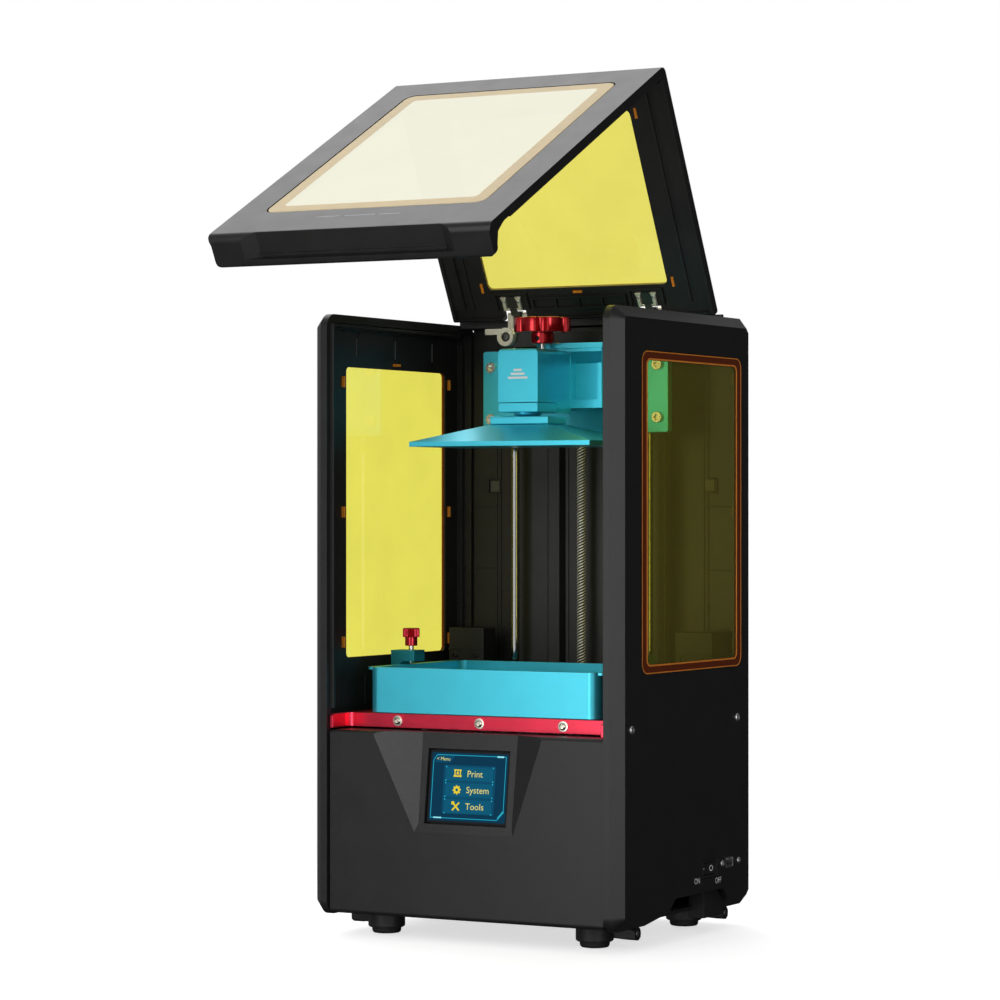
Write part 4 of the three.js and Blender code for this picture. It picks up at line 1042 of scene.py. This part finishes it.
def thread():
    segments = 40
    rows = []
    for step in range(int((THREAD_Z1 - THREAD_Z0) / THREAD_STEP) + 1):
        z = THREAD_Z0 + step * THREAD_STEP
        fade = min(1.0, (z - THREAD_Z0) / 1.2, (THREAD_Z1 - z) / 1.2)
        row = []
        for i in range(segments):
            angle = tau * i / segments
            phase = ((z - THREAD_LEAD * angle / tau) / THREAD_PITCH) % 1.0
            height = abs(phase - 0.5) * 2    # 1 at the crest's middle, 0 in the root's
            rise = min(1.0, max(0.0, (height - 0.32) / 0.36))
            radius = ROOT_RADIUS + (CREST_RADIUS - ROOT_RADIUS) * rise * fade
            row.append((radius * cos(angle), SCREW_Y + radius * sin(angle), z))
        rows.append(row)
    for z in (400.6, 404.0):                 # plain end above the thread
        rows.append([(x, y, z) for x, y in circle(0, SCREW_Y, 2.3, segments)])
    return skin(rows)


def paint_root_shade(piece):
    """Gives the faces between the crests their own near-black material: painted shade in the
    thread's roots.
    """
    mesh = piece.data
    mesh.materials.append(MATERIALS["thread_root_shade"])
    axis_y = SCREW_Y * MM + MID_Y
    for polygon in mesh.polygons:
        if len(polygon.vertices) != 4:
            continue
        corners = [mesh.vertices[v].co for v in polygon.vertices]
        radius = sum(hypot(co.x, co.y - axis_y) for co in corners) / 4
        if radius < 2.86 * MM and 136 * MM < polygon.center.z < 398 * MM:
            polygon.material_index = 1


paint_root_shade(finish(thread(), "drive_thread", "thread_steel", "screw", "lead_screw", sharp=80))

# ------------------------------------------------------------------ carriage, arm, platform
refine("carriage_plate", "blue_anodised", bevel=0.6, segments=3)
refine("carriage_arm", "blue_anodised", bevel=0.8, segments=3)
refine("lead_nut", "brass", bevel=0.3)
refine("bearing_left", "coated_metal", bevel=0.4)
refine("bearing_right", "coated_metal", bevel=0.4)
refine("platform_mount", "blue_anodised", bevel=0.5)
refine("ball_stud", "steel", bevel=0.2)
refine("platform_boss", "blue_anodised", bevel=0.9, segments=3)
refine("build_plate", "blue_anodised", bevel=0.5, segments=3, angle=8)
for i, (x, z) in enumerate([(x, z) for z in (380.5, 344.7) for x in (-64.5, 64.5)]):
    screw(f"carriage_screw_{i}", (x, 56.0, z), "-y", radius=3.8, height=3.2, material="nickel",
          body="carriage", cap=True)
for i, x in enumerate((-6, 30)):
    screw(f"knee_screw_{i}", (x, 44.0, 394.6), "+z", radius=2.6, height=1.5, body="carriage")
# three-bar mark on the arm's face: half width, height
for i, (half, z) in enumerate(((3.0, 375.2), (5.2, 372.6), (7.4, 370.0))):
    finish(prism_y(rect(-half, half, z - 0.75, z + 0.75), -24.215, -24.26), f"arm_mark_{i}",
           "print_white", "carriage")

# ------------------------------------------------------------------ star knob
KNOB_Y = 10.5
KNOB_RADIUS = 19.4
FLUTE_DEPTH = 3.2
LOBE_HALF = 0.295                            # half a lobe's share of one lobe and flute
# inset, z
KNOB_LEVELS = [(1.0, 401.4), (0.35, 401.7), (0.0, 402.5), (0.0, 410.5), (0.35, 411.3), (1.0, 411.6)]


def lobed():
    """Broad lobes parted by hollow flutes."""
    segments, lobes = 224, 7
    rows = []
    for inset, z in KNOB_LEVELS:
        row = []
        for i in range(segments):
            angle = tau * i / segments - pi / 2
            # 0 at a lobe's middle, 0.5 in a flute's middle
            phase = abs((i * lobes / segments + 0.5) % 1.0 - 0.5)
            dip = 0.25 * min(1.0, phase / LOBE_HALF) ** 4
            if phase > LOBE_HALF:
                across = (0.5 - phase) / (0.5 - LOBE_HALF)
                dip = max(dip, FLUTE_DEPTH * sqrt(max(0.0, 1 - across * across)))
            radius = KNOB_RADIUS - dip - inset
            row.append((radius * cos(angle), KNOB_Y + radius * sin(angle), z))
        rows.append(row)
    return skin(rows)


def star_knob():
    collar = turned(0, KNOB_Y, [(7.2, 393.8), (7.8, 394.5), (7.8, 401.0), (9.0, 401.8),
                                (9.0, 402.4)])
    knob = cut(lobed(), cylinder_z(0, KNOB_Y, 2.3, 399, 413))
    knob = add(knob, cut(collar, cylinder_z(0, KNOB_Y, 2.3, 390, 404)))
    return cut(knob, cylinder_y(0, 397.4, 1.7, KNOB_Y - 9, KNOB_Y - 4, 24))


finish(star_knob(), "star_knob", "red_knob", "knob", "clamp_knob", sharp=38, tidy=True)
screw("knob_set_screw", (0, KNOB_Y - 6.4, 397.4), "-y", radius=1.6, height=0.8,
      material="coated_metal", body="knob")
refine("knob_screw", "steel", bevel=0.2)
finish(turned(0, KNOB_Y, [(3.2, 410.2), (3.2, 411.5), (2.9, 411.75), (1.2, 411.75)]),
       "knob_screw_top", "steel", "knob")

# ------------------------------------------------------------------ vat and clamps
VAT_TOP = 177.2


def vat_body():
    vat = prism_z(rect(-86, 86, -74, 47.5, 7, 12), 147.3, VAT_TOP)
    vat = cut(vat, prism_z(rect(-82.6, 82.6, -70.6, 44.1, 5, 12), 150.5, 180),
              prism_z(rect(-70.6, 70.6, -53.6, 27.0, 3, 8), 140, 160))
    lip = cut(prism_z(rect(-89.2, 89.2, -71, 44.5, 3, 6), 175.4, VAT_TOP),
              prism_z(rect(-84, 84, -80, 53), 170, 180))
    return add(vat, lip)


finish(vat_body(), "resin_vat", "blue_anodised", "vat", "vat", bevel=0.7, segments=3)
refine("vat_film", "clear_film", bevel=0)
refine("film_frame", "steel", bevel=0.25)
film_screws = [(x, y) for x in (-74, 74) for y in (-50, -30, -10, 10, 26)]
film_screws += [(x, y) for x in (-50, -17, 17, 50) for y in (-57, 30.5)]
for i, (x, y) in enumerate(film_screws):
    screw(f"film_screw_{i}", (x, y, 152.4), "+z", radius=1.5, height=0.8, body="vat")


def thumb_knob(x, y):
    """A knurled disc on a collar."""
    rows = []
    for inset, z in ((0.6, 195.2), (0.0, 195.7), (0.0, 200.9), (0.6, 201.4)):
        row = []
        for i in range(72):
            radius = 5.75 - inset - 0.5 * (i % 2)
            row.append((x + radius * cos(tau * i / 72), y + radius * sin(tau * i / 72), z))
        rows.append(row)
    collar = turned(x, y, [(3.9, 189.4), (4.2, 189.7), (4.2, 195.4), (3.0, 195.5)], 48)
    return add(skin(rows), collar)


for side, sign in SIDES:
    refine(f"vat_clamp_{side}", "blue_dark_anodised", bevel=1.1, segments=4)
    x, y = sign * 86.8, -17.0
    thumbscrew = f"thumbscrew_{side}"
    finish(thumb_knob(x, y), f"thumb_knob_{side}", "red_dark_knob", thumbscrew, thumbscrew,
           sharp=30)
    finish(turned(x, y, [(1.3, 177.7), (1.7, 178.2), (1.7, 189.5)], 32), f"thumb_stem_{side}",
           "nickel", thumbscrew, sharp=50)
    screw(f"clamp_screw_{side}", (sign * 93.6, -26.0, 166.0), "-y", radius=2.2, height=1.4)

# ------------------------------------------------------------------ hinges
HINGE_X = 52.5
PIN_Y, PIN_Z = 74.1, 417.8
BOSS_Z, BOSS_RADIUS = 401.8, 6.4
# distance from the hinge's middle, y
LEAF_BAR = [(4.6, 67.2), (4.6, 60.4), (4.0, 58.2), (3.6, 57.0), (8.0, 57.0), (7.6, 58.4),
            (7.0, 60.4), (7.0, 67.2)]
# y, z
WEB_PROFILE = [(66.0, 410.6), (70.6, 410.4), (73.4, 413.4), (75.6, PIN_Z), (72.4, 419.6),
               (69.8, 415.0), (68.6, 412.2), (66.0, 412.2)]


def hinge_bracket(sign):
    x = sign * HINGE_X
    shoulders = [(x + BOSS_RADIUS, 404.0), (x + 8.0, 405.4), (x + 8.0, 407.6), (x - 8.0, 407.6),
                 (x - 8.0, 405.4), (x - BOSS_RADIUS, 404.0)]
    bracket = prism_y(arc(x, BOSS_Z, BOSS_RADIUS, pi, pi, 16) + shoulders, 54.6, 57.4)
    bracket = add(bracket, box(x - 8, x + 8, 54.6, 76.0, 405.2, 407.6),
                  box(*span(sign, 5, 17, x), 54.6, 57.4, 403.6, 407.6),
                  cylinder_y(x, BOSS_Z, BOSS_RADIUS, 52.6, 56.0))
    bracket = cut(bracket, cylinder_y(x, BOSS_Z, 4.3, 51.0, 53.6))
    for cheek_side in (-1, 1):
        ends = span(cheek_side, 3.6, 8, x)
        corners = [(y, z) for z in (407.0, PIN_Z) for y in (71.1, 75.9)]
        crown = arc(PIN_Y, PIN_Z, 3.0, 0, pi, 12)
        bracket = add(bracket, hull([(end, *point) for points in (corners, crown)
                                     for end in ends for point in points]))
    return add(bracket, cylinder_x(PIN_Y, PIN_Z, 1.2, x - 8.0, x + 8.0, 24))


def hinge_leaf(sign):
    x = sign * HINGE_X
    bars = [prism_z([(x + bar_side * a, b) for a, b in LEAF_BAR], 409.9, 412.2)
            for bar_side in (-1, 1)]
    return add(*bars, box(x - 7.0, x + 7.0, 66.0, 67.2, 411.3, 412.2))


def hinge_web(sign):
    x = sign * HINGE_X
    web = add(box(x - 4.7, x + 4.7, 57.4, 66.4, 411.5, 412.2),
              prism_x(WEB_PROFILE, x - 2.4, x + 2.4),
              cylinder_x(PIN_Y, PIN_Z, 3.0, x - 3.2, x + 3.2, 36))
    return cut(web, cylinder_x(PIN_Y, PIN_Z, 1.6, x - 5, x + 5, 24))


for side, sign in SIDES:
    finish(hinge_bracket(sign), f"hinge_base_{side}", "hinge_nickel",
           replaces=f"hinge_bracket_{side}", bevel=0.3)
    finish(hinge_leaf(sign), f"hinge_leaf_{side}", "hinge_nickel", "lid", f"hinge_arm_{side}",
           bevel=0.3)
    finish(hinge_web(sign), f"hinge_web_{side}", "dark_screw", "lid", bevel=0.2)
    x = sign * HINGE_X
    screw(f"hinge_boss_screw_{side}", (x, 53.6, BOSS_Z), "-y", radius=3.3, height=1.5,
          material="dark_screw")
    for i, offset in enumerate((-5.8, 5.8)):
        screw(f"hinge_leaf_screw_{side}_{i}", (x + offset, 60.2, 409.9), "-z", radius=1.0,
              height=0.6, body="lid")

# ------------------------------------------------------------------ lid
LID_HALF = 101.4                             # half the lid's width
# y, z, radius, segments of the shell's section
LID_PROFILE = [(-102.5, 151.8, 5.0, 10), (-80.4, 151.8, 2.2, 4), (-80.4, 156.6, 1.0, 2),
               (-86.5, 158.2), (-93.2, 162.5, 3, 5), (-95.9, 172.0, 6, 6), (-95.9, 408.9),
               (75.0, 408.9, 1.5, 1), (75.0, 415.5, 1.5, 3), (-102.5, 415.5, 5, 10)]
LID_HOLLOW = [(-99.5, 157.0), (-99.5, 412.5), (72.5, 412.5), (72.5, 405), (-90, 405), (-70, 157.0)]
# nearest and farthest distance from the middle in x, then y0, y1, z0, z1
LID_RAILS = ((90.4, LID_HALF - 2, -92, 66, 410.3, 413.0),
             (90.4, LID_HALF - 2, -100.0, -97.3, 175, 400),
             (83.6, 86.0, -88, 66, 411.3, 413.0), (83.6, 86.0, -100.0, -98.3, 180, 396))
RIB_Z = (410.5, 413.0)                       # ribs under the top, near the hinges
# x, z, radius, segments of the notch in the lower edge
LID_NOTCH = [(-78.2, 151.0), (-77.4, 151.8), (-67.6, 155.6, 3.0, 4), (66.0, 155.6, 3.0, 4),
             (73.2, 151.8), (74.0, 151.0)]
# windows: x0, x1, then y0, y1 (top) or z0, z1 (front), corner radius
TOP_OPENING = (-70, 70, -74, 52, 3.5)
TOP_SEAT = (-79.1, 79.1, -83.1, 61.1, 7.4)
TOP_SHEET = (-78.2, 78.2, -82.2, 60.2, 6.7)
TOP_GROOVE = (-79.0, 79.0, -83.0, 61.0, 7.4)
FRONT_OPENING = (-70, 70, 197, 379, 3.5)
FRONT_SEAT = (-80.1, 80.1, 187.1, 389.1, 7.4)
FRONT_SHEET = (-79.2, 79.2, 188.0, 388.2, 6.7)
FRONT_GROOVE = (-80.0, 80.0, 187.2, 389.0, 7.4)
# x, then y (top) or z (front), 1 where the tab is long that way
TOP_TABS = [(-74.2, 50.6, 1), (74.2, 50.6, 1), (-74.2, -71.5, 1), (74.2, -71.5, 1), (0, 55.4, 0)]
FRONT_TABS = [(-74.4, 203, 1), (74.4, 203, 1), (-74.4, 372, 1), (74.4, 372, 1), (0, 192.4, 0),
              (0, 383.6, 0)]


def lid_tabs(half_length, half_width, top_z, front_y):
    """Boxes at the tabs of the top window, then at those of the front window."""
    boxes = [box(*tab_spans(*tab, half_length, half_width), *top_z) for tab in TOP_TABS]
    for tab in FRONT_TABS:
        x0, x1, z0, z1 = tab_spans(*tab, half_length, half_width)
        boxes.append(box(x0, x1, *front_y, z0, z1))
    return boxes


def lid_ribs():
    ribs = [box(*span(sign, near, far), *rest)
            for _, sign in SIDES for near, far, *rest in LID_RAILS]
    for _, sign in SIDES:                    # three-sided fences round the hinges
        x = sign * HINGE_X
        ribs += [box(x - 13, x + 13, 54.0, 55.6, *RIB_Z),
                 box(x - 13, x - 11.6, 54.0, 67.0, *RIB_Z),
                 box(x + 11.6, x + 13, 54.0, 67.0, *RIB_Z)]
    # ladder between the hinges
    ribs += [box(-36, 36, 58.0, 59.4, *RIB_Z), box(-36, 36, 66.0, 67.4, *RIB_Z)]
    ribs += [box(x - 0.7, x + 0.7, 58.0, 67.4, *RIB_Z) for x in (-36, -18, 0, 18, 36)]
    return ribs


def lid_cuts():
    cuts = []
    for _, sign in SIDES:
        x = sign * HINGE_X
        cuts.append(box(x - 8.7, x + 8.7, 68.0, 78, 400, 420))
        flank = [(101.45, -101.2), (99.9, -95.7), (99.9, -70), (103, -70), (103, -101.2)]
        cuts.append(prism_z([(sign * a, b) for a, b in flank], 150, 178))
        corner = arc(95.4, -84.9, 4.5, 0, pi / 2, 8) + [(95.4, -78.0), (103, -78.0), (103, -84.9)]
        cuts.append(prism_z([(sign * a, b) for a, b in corner], 150, 159))
    cuts += [prism_y(outline(LID_NOTCH), -110, -85.5),
             prism_z(rect(*TOP_OPENING, 6), 400, 420), prism_z(rect(*TOP_SEAT, 8), 413.5, 420),
             prism_y(rect(*FRONT_OPENING, 6), -110, -90),
             prism_y(rect(*FRONT_SEAT, 8), -110, -100.5)]
    return cuts + lid_tabs(3.9, 1.2, top_z=(408, 414.5), front_y=(-101.5, -96))


def lid_shell():
    inner = LID_HALF - 2.5
    shell = cut(prism_x(outline(LID_PROFILE), -LID_HALF, LID_HALF),
                prism_x(LID_HOLLOW, -inner, inner))
    shell = cut(add(shell, *lid_ribs()), *lid_cuts())
    return add(shell, box(-68.5, 67.0, -88.2, -86.9, 154.2, 156.4))


finish(lid_shell(), "lid_cover", "lid_black", "lid", "lid_shell", bevel=0.8, segments=3, sharp=19)
# the borders of both lid windows are opaque pale cream: painted reflection
sheet("lid_window_top", rect(*TOP_SHEET, 8), rect(*TOP_OPENING, 8), along_z, 413.8, 415.45,
      ("lid_sheet", "lid_rim_painted_sheen"), "lid_top_window", "lid")
sheet("lid_window_front", rect(*FRONT_SHEET, 8), rect(*FRONT_OPENING, 8), along_y, -102.45,
      -100.8, ("lid_sheet_front", "lid_rim_painted_sheen"), "lid_front_window", "lid")
# near-black bands at the bottom of the window grooves: painted shade
band("lid_front_groove_shade", rect(*FRONT_GROOVE, 8), rect(*FRONT_SHEET, 8), along_y, -100.9,
     -100.55, "painted_gap_shade", "lid")
band("lid_top_groove_shade", rect(*TOP_GROOVE, 8), rect(*TOP_SHEET, 8), along_z, 413.55, 413.9,
     "painted_gap_shade", "lid")
finish(gather(lid_tabs(3.6, 0.9, top_z=(412.1, 413.75), front_y=(-100.75, -99.1))),
       "lid_window_clips", "amber_clip_glint", "lid", bevel=0.2)
# plain bars on the lid's lower band
for i, (x0, x1) in enumerate(((-34, -16), (-13, 9), (12, 27))):
    finish(prism_y(rect(x0, x1, 174.9, 176.3), -102.51, -102.54), f"lid_mark_{i}", "print_grey",
           "lid")


# ------------------------------------------------------------------ stage (metres)
def pale_floor():
    """A lit disc that fades out towards its rim."""
    graph = new_material("floor_pale")
    lit = graph.node("AddShader", {
        0: graph.node("BsdfDiffuse", {"Color": (0.86, 0.86, 0.86, 1)}),
        1: graph.node("Emission", {"Strength": 0.62})})
    distance = graph.node("VectorMath", {0: graph.coords()}, operation="LENGTH")
    share = graph.map_range(distance.outputs["Value"], source=(0.60, 0.18), target=(0.0, 0.9),
                            interpolation_type="SMOOTHSTEP")
    graph.finish(graph.mix(share, graph.node("BsdfTransparent"), lit))


mesh = bpy.data.meshes.new("floor")
mesh.from_pydata([(x, y, -0.0004) for x, y in circle(0, 0, 0.62, 64)], [], [tuple(range(64))])
floor = bpy.data.objects.new("floor", mesh)
scene.collection.objects.link(floor)
pale_floor()
mesh.materials.append(MATERIALS["floor_pale"])
floor.visible_glossy = False
floor.visible_diffuse = False

# soft glows of the surroundings: direction, sharpness, strength
SKY_LOBES = (((-0.50, 0.48, 0.72), 5.0, 1.15), ((0.42, -0.90, 0.08), 3.0, 0.85),
             ((-0.95, -0.25, 0.10), 4.0, 0.25), ((0.1, -0.35, 0.93), 3.0, 0.45))
SKY_BASE = 0.035


def studio_world():
    """White to the camera; soft glows to everything else."""
    world = bpy.data.worlds.new("studio")
    scene.world = world
    graph = Graph(world, "OutputWorld")
    direction = graph.node("TexCoord").outputs["Generated"]
    strength = SKY_BASE
    for towards, sharpness, gain in SKY_LOBES:
        facing = graph.node("VectorMath", {0: direction, 1: Vector(towards).normalized()},
                            operation="DOT_PRODUCT").outputs["Value"]
        spot = graph.math("POWER", graph.math("MAXIMUM", facing, 0.0), sharpness)
        strength = graph.math("ADD", graph.math("MULTIPLY", spot, gain), strength)
    seen = graph.node("Background", {"Color": (1.0, 1.0, 1.0, 1), "Strength": 1.0})
    camera_ray = graph.node("LightPath").outputs["Is Camera Ray"]
    graph.finish(graph.mix(camera_ray, graph.node("Background", {"Strength": strength}), seen))


studio_world()


def area(name, at, to, width, height, watts):
    light = bpy.data.lights.new(name, "AREA")
    light.shape = "RECTANGLE"
    light.size, light.size_y = width, height
    light.energy = watts
    lamp = bpy.data.objects.new(name, light)
    scene.collection.objects.link(lamp)
    lamp.location = at
    lamp.rotation_euler = (Vector(to) - Vector(at)).to_track_quat("-Z", "Y").to_euler()
    lamp.visible_camera = False
    return lamp


area("key_top", at=(-0.7, 0.9, 1.9), to=(0, 0.05, 0.25), width=1.7, height=1.7, watts=12)
area("front_panel", at=(-0.21, -0.92, 0.34), to=(-0.21, 0.0, 0.34), width=0.36, height=0.95,
     watts=2.9)
area("right_strip", at=(1.5, -0.95, 0.35), to=(0.0, 0.0, 0.3), width=0.35, height=1.1, watts=5.0)
back_fill = area("back_fill", at=(-1.3, 1.9, 0.45), to=(0, 0.1, 0.25), width=0.7, height=1.1,
                 watts=14)
back_fill.visible_glossy = False
area("fill_front", at=(0.5, -2.6, 1.3), to=(0, 0, 0.35), width=0.9, height=0.9, watts=5)

# ------------------------------------------------------------------ camera
CAMERA_AT = (1095.40, -2009.44, 283.48)      # layout millimetres
AZIMUTH, ELEVATION = radians(29.188), radians(0.125)

lens = bpy.data.cameras.new("camera")
lens.sensor_width = 36.0
lens.lens = 122.4774
lens.clip_start, lens.clip_end = 0.05, 50
camera = bpy.data.objects.new("camera", lens)
scene.collection.objects.link(camera)
camera.location = (CAMERA_AT[0] * MM, CAMERA_AT[1] * MM + MID_Y, CAMERA_AT[2] * MM)
forward = Vector((-sin(AZIMUTH) * cos(ELEVATION), cos(AZIMUTH) * cos(ELEVATION), sin(ELEVATION)))
camera.rotation_mode = "QUATERNION"
camera.rotation_quaternion = forward.to_track_quat("-Z", "Y")
scene.camera = camera
scene.view_settings.view_transform = "Standard"
scene.view_settings.look = "None"
